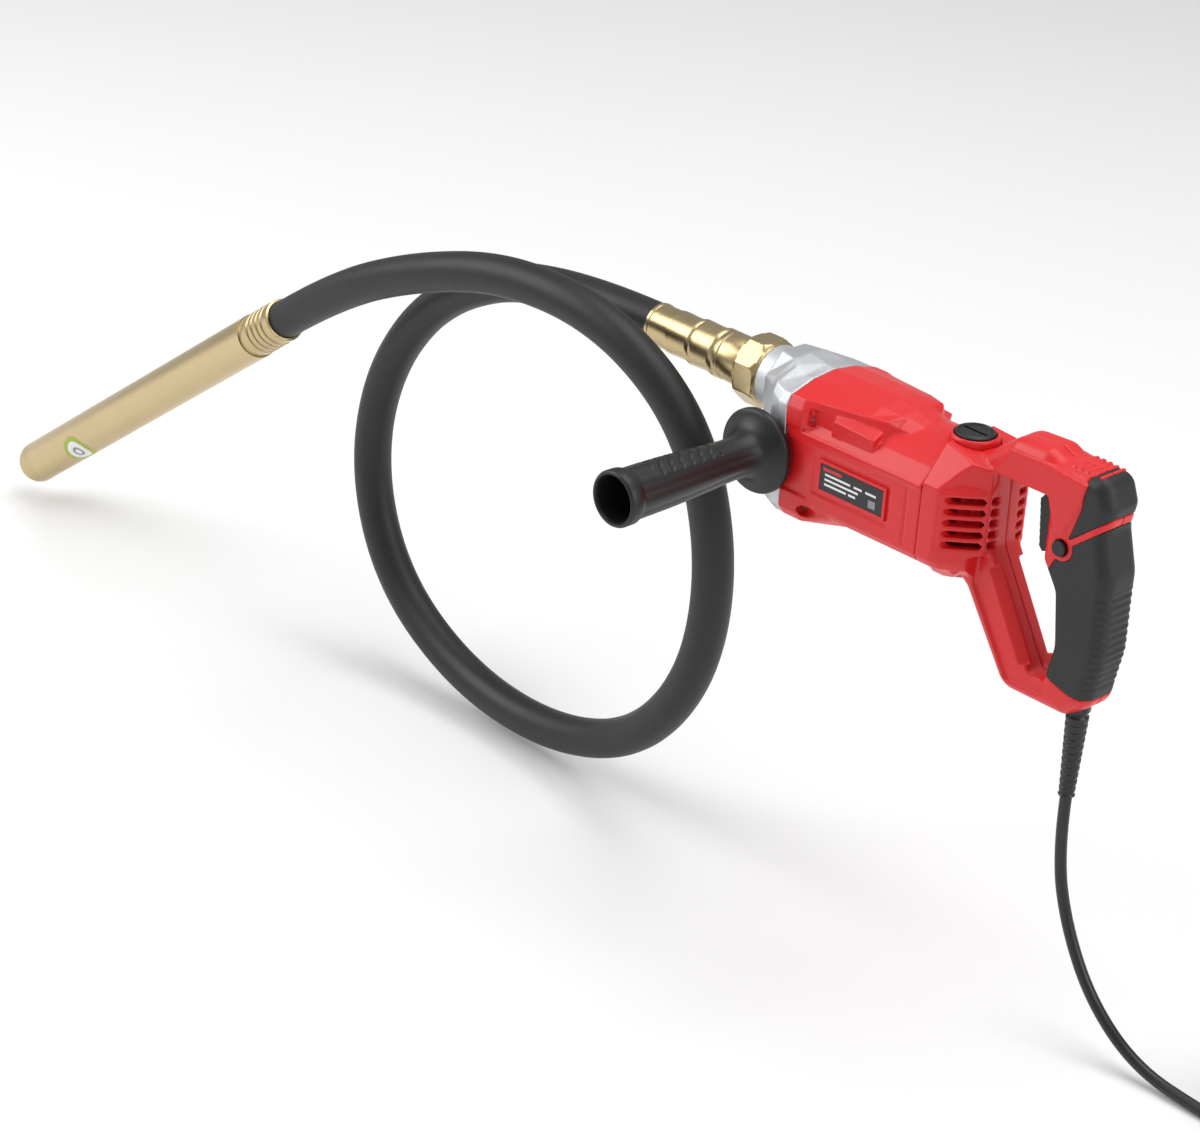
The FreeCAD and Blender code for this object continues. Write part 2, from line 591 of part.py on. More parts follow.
shaft_length = "shaft_end - shaft_start - motor_rear_width - 2"
main_shaft = rod("main_shaft", "shaft_radius", shaft_length, on_motor(sheet.shaft_start))
tail_length = "motor_rear_width + 2"
tail_start = sheet.shaft_end - sheet.motor_rear_width - 2
shaft_tail = rod("shaft_tail", "shaft_tail_radius", tail_length, on_motor(tail_start))
keep(fuse("rotor_shaft", main_shaft, shaft_tail), "rotor_shaft")


def sleeve(label, radius, length, start):
    """A ring pressed on the rotor shaft."""
    outer = rod(label + "_body", radius, length, start)
    hole = rod(label + "_hole", "shaft_radius + seat_gap", length, start)
    keep(cut(label, outer, hole), label)


sleeve("rotor_core", "core_radius", "core_length", on_motor(sheet.core_start))
sleeve("commutator", "commutator_radius", "commutator_length", on_motor(sheet.commutator_start))


def make_windings():
    rings = []
    for start in (sheet.core_start - sheet.coil_length + 2, sheet.core_start + sheet.core_length):
        length = sheet.coil_length - 2 if start < sheet.core_start else sheet.coil_length + 3
        outer = Part.makeCylinder(sheet.coil_radius, length, on_motor(start), X)
        hole = Part.makeCylinder(sheet.shaft_radius + sheet.seat_gap, length, on_motor(start), X)
        rings.append(outer.cut(hole))
    return Part.makeCompound(rings)


keep(solid("rotor_windings", make_windings()), "rotor_windings")


def make_fan():
    start, width = sheet.fan_start, sheet.fan_width
    bore = sheet.shaft_radius + sheet.seat_gap
    hub = Part.makeCylinder(12, width, on_motor(start), X)
    disc = Part.makeCylinder(sheet.fan_radius, 2, on_motor(start), X)
    blades = []
    for index in range(9):
        blade = Part.makeBox(width, 1.8, sheet.fan_radius - 11, on_motor(start) + Vector(0, -0.9, 10))
        blades.append(blade.rotate(MOTOR, X, index * 40))
    fan = hub.multiFuse([disc] + blades)
    return fan.cut(Part.makeCylinder(bore, width + 2, on_motor(start - 1), X))


keep(solid("cooling_fan", make_fan()), "cooling_fan")
keep(solid("pinion", gear_shape(sheet.pinion_teeth, sheet.shaft_radius + sheet.seat_gap,
                                on_motor(sheet.gear_start), sheet.gear_width, math.pi / 2)), "pinion")

# ---------- spindle ----------

half_space_angle = math.pi / sheet.gear_teeth
keep(solid("spindle_gear", gear_shape(sheet.gear_teeth, sheet.spindle_radius + sheet.seat_gap,
                                      at(sheet.gear_start), sheet.gear_width,
                                      -math.pi / 2 + half_space_angle)), "spindle_gear")
spindle_start = sheet.spigot_start + 2
spindle_main = rod("spindle_main", "spindle_radius", "spindle_rear_place - spigot_start - 2.5",
                   at(spindle_start))
spindle_tail = rod("spindle_tail", "spindle_tail_radius", "spindle_rear_width + 0.5",
                   at(sheet.spindle_rear_place - 0.5))
drive_hole = rod("drive_hole", "tang_radius + 0.1", "13", at(spindle_start))
keep(cut("spindle", fuse("spindle_steps", spindle_main, spindle_tail), drive_hole), "spindle")

# ---------- brushes ----------


def mirrored_pair(make_one):
    """One piece above the commutator and its twin below."""
    upper = make_one()
    upper.translate(on_motor(sheet.brush_place))
    lower = upper.copy()
    lower.rotate(on_motor(sheet.brush_place), X, 180)
    return Part.makeCompound([upper, lower])


def centred_box(depth, width, low, high):
    return Part.makeBox(depth, width, high - low, Vector(-depth / 2, -width / 2, low))


def make_brush():
    start = sheet.commutator_radius + 0.3
    return centred_box(sheet.brush_depth, sheet.brush_width, start, start + sheet.brush_length)


def make_holder():
    low = sheet.commutator_radius + 4
    high = sheet.cap_reach - sheet.cap_height - 0.2
    wall, gap = sheet.holder_wall, sheet.seat_gap
    outer = centred_box(sheet.brush_depth + 2 * (wall + gap), sheet.brush_width + 2 * (wall + gap) - gap,
                        low, high)
    return outer.cut(centred_box(sheet.brush_depth + 2 * gap, sheet.brush_width + 2 * gap, low, high))


def make_cap():
    low = sheet.cap_reach - sheet.cap_height
    plug = Part.makeCylinder(sheet.cap_radius - 2, sheet.cap_height - 1.4, Vector(0, 0, low), Z)
    head = Part.makeCylinder(sheet.cap_radius, 1.4, Vector(0, 0, sheet.cap_reach - 1.4), Z)
    slot = Part.makeBox(2 * sheet.cap_radius - 6, 2.4, 1.2,
                        Vector(3 - sheet.cap_radius, -1.2, sheet.cap_reach - 1.2))
    return plug.fuse(head).cut(slot)


keep(solid("carbon_brushes", mirrored_pair(make_brush)), "carbon_brushes")
keep(solid("brush_holders", mirrored_pair(make_holder)), "brush_holders")
keep(solid("brush_caps", mirrored_pair(make_cap)), "brush_caps")

# ---------- coupling nut, ferrule, hose and core ----------

nut = doc.addObject("PartDesign::Body", "coupling_nut")


def origin_plane(body, role):
    return next(f for f in body.Origin.OriginFeatures if f.Role == role)


def nut_sketch(name, draw, offset):
    sketch = nut.newObject("Sketcher::SketchObject", name)
    sketch.AttachmentSupport = (origin_plane(nut, "YZ_Plane"), [""])
    sketch.MapMode = "FlatFace"
    sketch.AttachmentOffset = Placement(Vector(0, 0, offset), Rotation())
    draw(sketch)
    return sketch


def circle_sketch(radius):
    def draw(sketch):
        sketch.addGeometry(Part.Circle(Vector(0, 0, 0), Z, 10), False)
        sketch.addConstraint(Sketcher.Constraint("Coincident", 0, 3, -1, 1))
        sketch.addConstraint(Sketcher.Constraint("Radius", 0, 10))
        bind(sketch, **{"Constraints[1]": radius})
    return draw


def octagon_sketch(sketch):
    reach = sheet.nut_flats / 2 / math.cos(math.pi / 8)
    corners = [Vector(reach * math.cos(math.pi / 8 * (2 * i + 1)),
                      reach * math.sin(math.pi / 8 * (2 * i + 1)), 0) for i in range(8)]
    for index in range(8):
        sketch.addGeometry(Part.LineSegment(corners[index], corners[(index + 1) % 8]), False)
    for index in range(8):
        sketch.addConstraint(Sketcher.Constraint("Coincident", index, 2, (index + 1) % 8, 1))


outline = nut_sketch("nut_outline", octagon_sketch, 0)
nut_pad = nut.newObject("PartDesign::Pad", "nut_pad")
nut_pad.Profile = outline
bind(nut_pad, Length="nut_length")
doc.recompute()
for name, radius, depth in (("lip_hole", "hose_radius + 1.2 + seat_gap", "nut_length"),
                            ("thread_hole", "spigot_radius + seat_gap", "nut_length - 5.6")):
    hole_sketch = nut_sketch(name + "_sketch", circle_sketch(radius), sheet.nut_length)
    pocket = nut.newObject("PartDesign::Pocket", name)
    pocket.Profile = hole_sketch
    bind(pocket, Length=depth)
    before = nut_pad.Shape.Volume
    doc.recompute()
    assert nut.Shape.Volume < before
nut.Placement = Placement(at(sheet.nut_start), Rotation())
keep(nut, "coupling_nut")


def make_ferrule():
    start, step = sheet.ferrule_start, sheet.ferrule_step
    shape = None
    for index in range(3):
        radius = sheet.ferrule_radius + step * index
        place = start + sheet.ferrule_band * index
        band = Part.makeCylinder(radius, sheet.ferrule_band + 1, at(place), X)
        ridge = Part.makeCylinder(radius + 0.9, 2.5, at(place + sheet.ferrule_band - 2), X)
        shape = band.fuse(ridge) if shape is None else shape.multiFuse([band, ridge])
    head_start = start + 3 * sheet.ferrule_band
    head_end = sheet.nut_start - 0.3
    head = Part.makeCylinder(sheet.ferrule_head, head_end - head_start, at(head_start), X)
    neck_end = sheet.spigot_start - 0.1
    neck = Part.makeCylinder(sheet.hose_radius + 1.2, neck_end - head_end, at(head_end), X)
    liner = Part.makeCylinder(sheet.hose_bore - sheet.seat_gap, 24, at(start - 24), X)
    bore = Part.makeCylinder(sheet.ferrule_bore, 150, at(start - 30), X)
    return shape.multiFuse([head, neck, liner]).cut(bore)


keep(solid("hose_ferrule", make_ferrule()), "hose_ferrule")

# The hose leaves the ferrule along -X, makes one loop below and comes back over its start.
HOSE_ROUTE = [Vector(*p) for p in (
    (-102.5, 0, 0), (-212, 0, 0), (-320, -1, -44), (-385, -2, -122), (-402, -4, -214), (-362, -9, -296),
    (-272, -14, -341), (-166, -19, -344), (-72, -24, -307), (-11, -30, -228), (5, -36, -130),
    (-22, -42, -38), (-98, -49, 14), (-195, -54, 20), (-290, -57, -8), (-378, -58, -50),
    (-439, -58, -94))]
NEEDLE_ROOT = HOSE_ROUTE[-1]
NEEDLE_AXIS = (HOSE_ROUTE[-1] - HOSE_ROUTE[-2]).normalize()
NEEDLE = Placement(NEEDLE_ROOT, Rotation(X, NEEDLE_AXIS))

hose_wire = route_wire(HOSE_ROUTE, "hose")
hose_shape = tube(hose_wire, sheet.hose_radius, "hose").cut(tube(hose_wire, sheet.hose_bore, "hose bore"))
keep(solid("hose", hose_shape), "hose")

core_route = [at(sheet.spigot_start - 1)] + HOSE_ROUTE[1:-1] + [NEEDLE_ROOT + NEEDLE_AXIS * 56]
core_shape = tube(route_wire(core_route, "core"), sheet.core_wire_radius, "core")
tang = Part.makeCylinder(sheet.tang_radius, 14, at(sheet.spigot_start - 1), X)
far_tang = Part.makeCylinder(sheet.tang_radius, 14, NEEDLE_ROOT + NEEDLE_AXIS * 56, NEEDLE_AXIS)
keep(solid("flexible_core", core_shape.multiFuse([tang, far_tang])), "flexible_core")

# ---------- needle, in its own frame: X from the hose to the tip ----------


def needle_rod(radius, start, end):
    return Part.makeCylinder(radius, end - start, at(start), X)


def make_socket():
    length = sheet.socket_length
    shape = needle_rod(sheet.socket_radius, 0, length)
    for groove in (9, 18, 27):
        outer = needle_rod(sheet.socket_radius + 2, groove, groove + 2.4)
        shape = shape.cut(outer.cut(needle_rod(sheet.socket_radius - 1, groove, groove + 2.4)))
    spigot = needle_rod(sheet.needle_bore - sheet.seat_gap, length, length + sheet.spigot_length)
    liner = needle_rod(sheet.hose_bore - sheet.seat_gap, -24, 0)
    return shape.multiFuse([spigot, liner]).cut(needle_rod(sheet.ferrule_bore, -30, 100))


def make_tip():
    start = sheet.needle_length - sheet.tip_length
    spigot = needle_rod(sheet.needle_bore - sheet.seat_gap, start - sheet.spigot_length, start)
    nose = needle_rod(sheet.needle_radius, start, sheet.needle_length)
    rim = [e for e in nose.Edges if e.CenterOfMass.x > sheet.needle_length - 1 and len(e.Vertexes) == 1]
    return nose.makeFillet(sheet.tip_round, rim).fuse(spigot)


tube_start = sheet.socket_length
tube_end = sheet.needle_length - sheet.tip_length
tube_length = "needle_length - socket_length - tip_length"
needle_body = rod("needle_body", "needle_radius", tube_length, at(tube_start))
needle_hole = rod("needle_hole", "needle_bore", tube_length, at(tube_start))
keep(solid("needle_socket", make_socket()), "needle_socket", NEEDLE)
keep(cut("needle_tube", needle_body, needle_hole), "needle_tube", NEEDLE)
keep(solid("needle_tip", make_tip()), "needle_tip", NEEDLE)

root_bearing = tube_start + sheet.spigot_length + 6
tip_bearing = tube_end - sheet.spigot_length - 2 - sheet.needle_bearing
for label, place in (("needle_root_bearing", root_bearing), ("needle_tip_bearing", tip_bearing)):
    ring = rod(label + "_ring", "needle_bore - seat_gap", "needle_bearing", at(place))
    hole = rod(label + "_hole", "journal_radius + shaft_gap", "needle_bearing", at(place))
    keep(cut(label, ring, hole), label, NEEDLE)
seal_ring = rod("seal_ring", "needle_bore - seat_gap", "5", at(root_bearing - 5.5))
seal_hole = rod("seal_hole", "journal_radius + free_gap", "5", at(root_bearing - 5.5))
keep(cut("needle_seal", seal_ring, seal_hole), "needle_seal", NEEDLE)


def make_weight():
    start, end = root_bearing - 5, tip_bearing + sheet.needle_bearing
    shape = needle_rod(sheet.journal_radius, start, end)
    weight_start, weight_end = root_bearing + sheet.needle_bearing + 2, tip_bearing - 2
    weight = needle_rod(sheet.weight_radius, weight_start, weight_end)
    heavy_side = Part.makeBox(weight_end - weight_start, 60, 30,
                              Vector(weight_start, -30, -sheet.weight_offset))
    shape = shape.fuse(weight.common(heavy_side))
    return shape.cut(needle_rod(sheet.tang_radius + 0.1, start, start + 10))


keep(solid("eccentric_weight", make_weight()), "eccentric_weight", NEEDLE)

# ---------- side handle, in its own frame: X outwards along -Y ----------

SIDE = Placement(Vector(sheet.side_place, -SIDE_FACE, -sheet.side_drop), Rotation(X, Y * -1))


def make_side_handle():
    gap, width, length = 0.1, sheet.flange_width, sheet.side_length
    flange = Part.makeCylinder(sheet.flange_radius - 4, width, at(gap), X)
    rim = Part.makeCone(sheet.flange_radius - 3, sheet.flange_radius, width * 0.6, at(gap), X)
    face = Part.makeCone(sheet.flange_radius, sheet.side_neck + 3, width * 0.4, at(gap + width * 0.6), X)
    neck = Part.makeCylinder(sheet.side_neck, 12, at(width), X)
    grip = Part.makeCone(sheet.side_neck, sheet.side_end - 1.5, length - width - 15, at(width + 5), X)
    lip = Part.makeCylinder(sheet.side_end, 10, at(length - 10), X)
    shape = flange.multiFuse([rim, face, neck, grip, lip])
    bore = Part.makeCylinder(sheet.side_bore, sheet.side_bore_depth, at(length - sheet.side_bore_depth), X)
    stud = Part.makeCylinder(sheet.stud_radius + gap, sheet.stud_length - 16, at(0), X)
    return shape.cut(bore).cut(stud)


keep(solid("side_handle", make_side_handle()), "side_handle", SIDE)
keep(rod("side_handle_stud", "stud_radius - seat_gap", "stud_length", at(-17)), "side_handle_stud", SIDE)

# ---------- label plate and screws ----------

label_middle = Vector(sheet.label_place + sheet.label_length / 2,
                      -sheet.half_width + sheet.label_thick / 2, -sheet.label_drop)
keep(block("label_plate", "label_length", "label_thick - 0.2", "label_width", label_middle), "label_plate")


def screw(head_place, along, length):
    """A pan-head screw: the head's flat seat is at head_place, and the shank runs along."""
    shank = Part.makeCylinder(sheet.screw_radius, length, head_place, along)
    head = Part.makeCylinder(sheet.screw_head, sheet.screw_head_height, head_place, along * -1)
    return head.fuse(shank)


# ---------- strain relief, cord, coil and plug ----------

collar_top = sheet.relief_top + sheet.relief_inside
cone_top = collar_top - sheet.relief_collar
tail_top = cone_top - sheet.relief_cone
relief_parts = [
    rod("relief_collar", "relief_radius", "relief_collar", at(relief_place, collar_top), -Z),
    taper("relief_cone", "relief_radius", "relief_sleeve", "relief_cone", at(relief_place, cone_top), -Z),
    rod("relief_tail", "relief_sleeve",
        "relief_top + relief_inside - relief_collar - relief_cone - relief_bottom",
        at(relief_place, tail_top), -Z)]
keep(fuse("strain_relief", *relief_parts), "strain_relief")

FLOOR = -361.0
CORD_ROUTE = [Vector(*p) for p in (
    (288, 0, -193), (288, 0, -236), (302, 0, -283), (330, 0, -328), (372, 0, -357), (425, 0, -361),
    (475, 0, -361))]

# The rest of the cord is put away in a neat coil of six turns, three high and two across.
COIL_MIDDLE = Vector(CORD_ROUTE[-1].x + 1, sheet.coil_middle + sheet.cord_radius, FLOOR - sheet.cord_radius)
coil_height = 6 * sheet.cord_radius


def coil_ring(grow):
    outer = sheet.coil_middle + 2 * sheet.cord_radius + grow
    inner = sheet.coil_middle - 2 * sheet.cord_radius
    ring = Part.makeCylinder(outer, coil_height, COIL_MIDDLE, Z)
    return ring.cut(Part.makeCylinder(inner, coil_height, COIL_MIDDLE, Z))


cord_shape = tube(route_wire(CORD_ROUTE, "cord"), sheet.cord_radius, "cord")
keep(solid("mains_cord", cord_shape.cut(coil_ring(0.05))), "mains_cord")
keep(solid("cord_coil", coil_ring(0)), "cord_coil")

# The plug lies beside the coil, where the last turn leaves it along Y.
plug_place = COIL_MIDDLE + Vector(sheet.coil_middle + sheet.cord_radius, sheet.plug_gap,
                                  sheet.plug_height / 2)
boot = taper("plug_boot_cone", "cord_radius + 0.8", "boot_radius", "boot_length", plug_place, Y)
plug_middle = plug_place + Y * (sheet.boot_length + sheet.plug_length / 2)
plug_block = block("plug_block", "plug_width", "plug_length", "plug_height", plug_middle)
keep(fuse("plug_shape", boot, plug_block), "plug_body")
pin_start = plug_place + Y * (sheet.boot_length + sheet.plug_length)
pins = [rod("plug_pin_%d" % side, "pin_radius", "pin_length", pin_start + X * (side * sheet.pin_pitch / 2), Y)
        for side in (1, -1)]
pin_pair = doc.addObject("Part::Compound", "pin_pair")
pin_pair.Links = pins
keep(pin_pair, "plug_pins")

# ---------- screws ----------

keep(solid("housing_screws", Part.makeCompound(
    [screw(Vector(sheet.flange_start + 1, y, z), X, sheet.housing_screw_length)
     for y, z in FLANGE_SCREWS])), "housing_screws")
keep(solid("handle_screws", Part.makeCompound(
    [screw(Vector(x, HEAD_SEAT, z), Y * -1, sheet.handle_screw_length)
     for x, z in HANDLE_SCREWS])), "handle_screws")

# ---------- checks and export ----------

doc.recompute()
for feature in doc.Objects:
    if {"Invalid", "Error"} & set(feature.State):
        raise RuntimeError("%s did not recompute: %s" % (feature.Name, feature.State))
os.makedirs("parts", exist_ok=True)
for part in sub_parts:
    if part.Shape.isNull() or not part.Shape.isValid():
        raise RuntimeError("%s has no valid shape" % part.Label)
    part.Shape.exportStep("parts/%s.step" % part.Label)
print("%d sub-parts written" % len(sub_parts))
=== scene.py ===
import json
import math

import bmesh
import bpy
from mathutils import Matrix, Vector


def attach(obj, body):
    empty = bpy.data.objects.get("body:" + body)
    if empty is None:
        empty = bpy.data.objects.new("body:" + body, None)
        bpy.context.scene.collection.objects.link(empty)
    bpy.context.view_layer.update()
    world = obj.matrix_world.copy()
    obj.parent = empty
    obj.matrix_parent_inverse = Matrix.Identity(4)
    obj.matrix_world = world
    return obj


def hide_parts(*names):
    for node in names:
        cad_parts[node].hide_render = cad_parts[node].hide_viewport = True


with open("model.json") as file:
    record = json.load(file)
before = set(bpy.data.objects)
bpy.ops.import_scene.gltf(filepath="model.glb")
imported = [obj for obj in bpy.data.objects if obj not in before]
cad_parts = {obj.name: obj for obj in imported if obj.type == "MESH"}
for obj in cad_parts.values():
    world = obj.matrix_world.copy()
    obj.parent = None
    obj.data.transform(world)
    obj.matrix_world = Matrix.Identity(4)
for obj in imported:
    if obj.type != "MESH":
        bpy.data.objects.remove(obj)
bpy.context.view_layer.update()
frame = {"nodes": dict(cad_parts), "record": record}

nodes = frame["nodes"]
GRIP = Vector((0.290, 0.0, -0.060))      # the row's origin, seen from the coupling nut
MM = 0.001


def at(x, y, z):
    """A point given from the coupling nut, in metres, as a point in the row frame."""
    return Vector((x, y, z)) - GRIP


# ---------------------------------------------------------------- camera, floor and light
def aim(eye, azimuth, elevation, roll):
    """Turns the camera to look along a compass direction, then rolls it about its own axis."""
    a, e, r = (math.radians(v) for v in (azimuth, elevation, roll))
    back = Vector((math.sin(a) * math.cos(e), -math.cos(a) * math.cos(e), math.sin(e)))
    right = Vector((math.cos(a), math.sin(a), 0.0))
    up = back.cross(right)
    rolled_right = right * math.cos(r) + up * math.sin(r)
    rolled_up = up * math.cos(r) - right * math.sin(r)
    matrix = Matrix((rolled_right, rolled_up, back)).transposed().to_4x4()
    matrix.translation = eye
    return matrix


camera_data = bpy.data.cameras.new("camera")
camera_data.lens = 96
camera_data.sensor_width = 36
camera_data.clip_end = 50
camera = bpy.data.objects.new("camera", camera_data)
bpy.context.scene.collection.objects.link(camera)
camera.matrix_world = aim(Vector((1.0382, -1.4717, 0.8672)), 45, 26, 3.8)
bpy.context.scene.camera = camera

FLOOR_Z = -0.305


def mesh_object(name, verts, faces, smooth=True):
    data = bpy.data.meshes.new(name)
    data.from_pydata([tuple(v) for v in verts], [], faces)
    data.update()
    made = bpy.data.objects.new(name, data)
    bpy.context.scene.collection.objects.link(made)
    if smooth:
        data.polygons.foreach_set("use_smooth", [True] * len(data.polygons))
    return made


floor = mesh_object("floor", [(-30, -30, FLOOR_Z), (30, -30, FLOOR_Z), (30, 30, FLOOR_Z), (-30, 30, FLOOR_Z)],
                    [(0, 1, 2, 3)], smooth=False)


def area_light(name, place, target, size, power):
    data = bpy.data.lights.new(name, "AREA")
    data.shape = "SQUARE"
    data.size = size
    data.energy = power
    lamp = bpy.data.objects.new(name, data)
    bpy.context.scene.collection.objects.link(lamp)
    lamp.location = place
    lamp.rotation_mode = "QUATERNION"
    lamp.rotation_quaternion = (Vector(target) - Vector(place)).to_track_quat("-Z", "Y")
    return lamp


AIM_AT = (-0.2, 0.0, 0.0)
area_light("left_softbox", (-2.4, -1.6, 1.7), AIM_AT, 2.2, 55)
area_light("right_softbox", (2.9, 0.6, 1.5), AIM_AT, 2.2, 46)
area_light("top_light", (-0.1, 0.5, 2.9), AIM_AT, 2.4, 48)

bpy.context.scene.view_settings.view_transform = "Standard"
world = bpy.data.worlds.new("studio")
bpy.context.scene.world = world
world.use_nodes = True
world.node_tree.nodes["Background"].inputs["Color"].default_value = (0.96, 0.97, 0.98, 1)
world.node_tree.nodes["Background"].inputs["Strength"].default_value = 0.44


# ---------------------------------------------------------------- materials
def add_node(tree, kind, settings=None, **values):
    made = tree.nodes.new(kind)
    for key, value in (settings or {}).items():
        setattr(made, key, value)
    for key, value in values.items():
        made.inputs[key].default_value = value
    return made


def material(name, color, roughness, metallic=0.0, grain=(2200, 0.12), mottle=(14, 0.07), streak=None,
             wear=0.0):
    """A surface with fine relief, slow changes of tone and gloss, and, if asked, bands along U and
    lighter edges. grain and streak are (how fine, how deep); mottle is (how fine, how strong)."""
    made = bpy.data.materials.new(name)
    made.use_nodes = True
    tree = made.node_tree
    link = tree.links.new
    shader = tree.nodes["Principled BSDF"]
    shader.inputs["Metallic"].default_value = metallic
    place = add_node(tree, "ShaderNodeTexCoord")
    slow = add_node(tree, "ShaderNodeTexNoise", Scale=mottle[0], Detail=5.0, Roughness=0.6)
    link(place.outputs["Object"], slow.inputs["Vector"])
    tone = add_node(tree, "ShaderNodeMapRange")
    tone.inputs["To Min"].default_value = 1 - mottle[1]
    tone.inputs["To Max"].default_value = 1 + mottle[1]
    link(slow.outputs["Fac"], tone.inputs["Value"])
    shade = add_node(tree, "ShaderNodeMix", {"data_type": "RGBA", "blend_type": "MULTIPLY"})
    shade.inputs["Factor"].default_value = 1
    shade.inputs[6].default_value = (*color, 1)
    link(tone.outputs["Result"], shade.inputs[7])
    tinted = shade.outputs[2]
    if wear:
        edge = add_node(tree, "ShaderNodeNewGeometry")
        rim = add_node(tree, "ShaderNodeMapRange")
        rim.inputs["From Min"].default_value = 0.52
        rim.inputs["From Max"].default_value = 0.66
        rim.inputs["To Max"].default_value = wear
        link(edge.outputs["Pointiness"], rim.inputs["Value"])
        worn = add_node(tree, "ShaderNodeMix", {"data_type": "RGBA"})
        worn.inputs[7].default_value = (*[min(1, c * 1.5 + 0.1) for c in color], 1)
        link(rim.outputs["Result"], worn.inputs["Factor"])
        link(tinted, worn.inputs[6])
        tinted = worn.outputs[2]
    link(tinted, shader.inputs["Base Color"])
    gloss = add_node(tree, "ShaderNodeMapRange")
    gloss.inputs["To Min"].default_value = roughness * 0.8
    gloss.inputs["To Max"].default_value = min(1, roughness * 1.2)
    link(slow.outputs["Fac"], gloss.inputs["Value"])
    link(gloss.outputs["Result"], shader.inputs["Roughness"])
    fine = add_node(tree, "ShaderNodeTexNoise", Scale=grain[0], Detail=3.0)
    link(place.outputs["Object"], fine.inputs["Vector"])
    relief = add_node(tree, "ShaderNodeBump", Strength=grain[1], Distance=0.0006)
    link(fine.outputs["Fac"], relief.inputs["Height"])
    last = relief
    if streak:
        lines = add_node(tree, "ShaderNodeMapping")
        lines.inputs["Scale"].default_value = (streak[0], 3.0, 1.0)
        link(place.outputs["UV"], lines.inputs["Vector"])
        turned = add_node(tree, "ShaderNodeTexNoise", Scale=1.0, Detail=4.0)
        link(lines.outputs["Vector"], turned.inputs["Vector"])
        last = add_node(tree, "ShaderNodeBump", Strength=streak[1], Distance=0.0004)
        link(turned.outputs["Fac"], last.inputs["Height"])
        link(relief.outputs["Normal"], last.inputs["Normal"])
    link(last.outputs["Normal"], shader.inputs["Normal"])
    return made


RED = (0.70, 0.013, 0.016)
BLACK = (0.006, 0.006, 0.007)
red_plastic = material("red_plastic", RED, 0.36, grain=(2600, 0.10), mottle=(9, 0.06), wear=0.10)
black_rubber = material("black_rubber", (0.009, 0.010, 0.010), 0.48, grain=(1900, 0.28), wear=0.05)
black_plastic = material("black_plastic", BLACK, 0.42, grain=(2400, 0.12), wear=0.06)
cord_rubber = material("cord_rubber", (0.010, 0.010, 0.011), 0.36, grain=(1500, 0.06))
cast_aluminium = material("cast_aluminium", (0.60, 0.61, 0.63), 0.46, 0.85, grain=(1300, 0.42),
                          mottle=(30, 0.06), wear=0.25)
brass = material("brass", (0.55, 0.43, 0.235), 0.28, 1.0, grain=(900, 0.05), mottle=(26, 0.10),
                 streak=(2600, 0.22))
plain_brass = material("plain_brass", (0.55, 0.43, 0.235), 0.30, 1.0, grain=(900, 0.08), mottle=(26, 0.10),
                       wear=0.15)
plain_steel = material("plain_steel", (0.62, 0.62, 0.63), 0.26, 1.0, grain=(700, 0.05), mottle=(40, 0.05))
hose_rubber = material("hose_rubber", (0.008, 0.008, 0.009), 0.48, grain=(1500, 0.22), mottle=(18, 0.10),
                       streak=(190, 0.5))
label_green = material("label_green", (0.36, 0.42, 0.04), 0.4, grain=(900, 0.03))
label_grey = material("label_grey", (0.25, 0.25, 0.26), 0.4, grain=(900, 0.03))
steel = material("steel", (0.50, 0.50, 0.52), 0.30, 1.0, grain=(700, 0.08), mottle=(40, 0.08))
dark_steel = material("dark_steel", (0.16, 0.16, 0.17), 0.5, 0.9, grain=(900, 0.3))
copper = material("copper_wire", (0.55, 0.20, 0.08), 0.35, 0.9, grain=(1200, 0.5))
carbon = material("carbon", (0.03, 0.03, 0.03), 0.55)
label_black = material("label_black", (0.010, 0.010, 0.011), 0.28, grain=(900, 0.03))
label_white = material("label_white", (0.80, 0.80, 0.80), 0.35, grain=(900, 0.03))
label_red = material("label_red", (0.62, 0.02, 0.02), 0.32, grain=(900, 0.03))
floor_white = material("studio_floor", (0.90, 0.90, 0.90), 0.9, grain=(300, 0.02), mottle=(0.6, 0.01))
floor.data.materials.append(floor_white)

BY_SLOT = {"red_plastic": red_plastic, "black_rubber": black_rubber, "hose_rubber": hose_rubber,
           "black_plastic": black_plastic, "cast_aluminium": cast_aluminium, "brass": plain_brass,
           "steel": steel, "copper_wire": copper, "laminated_steel": dark_steel, "carbon": carbon,
           "label_black": label_black, "cord_rubber": cord_rubber}
for part in frame["record"]["subparts"]:
    node = nodes[part["node"]]
    node.data.materials.clear()
    node.data.materials.append(BY_SLOT[part["material_slot"]])


# ---------------------------------------------------------------- mesh tools, in millimetres
def loft(rings):
    """A closed solid through rings of as many points each, with flat ends."""
    count = len(rings[0])
    verts = [Vector(p) for ring in rings for p in ring]
    faces = [tuple(range(count))[::-1], tuple(range(len(verts) - count, len(verts)))]
    for row in range(len(rings) - 1):
        for i in range(count):
            a, b = row * count + i, row * count + (i + 1) % count
            faces.append((a, b, b + count, a + count))
    return verts, faces


def bar(outline, axis, low, high):
    """An outline of two coordinates, swept along the third axis from low to high."""
    order = {"x": lambda u, v, w: (w, u, v),
             "y": lambda u, v, w: (u, w, v),
             "z": lambda u, v, w: (u, v, w)}[axis]
    return loft([[order(u, v, w) for u, v in outline] for w in (low, high)])


def side_bar(outline, side, near, far):
    """An outline in X and Z, swept along Y from near to far on one side, 1 or -1, of the middle."""
    return bar(outline, "y", *sorted((near * side, far * side)))


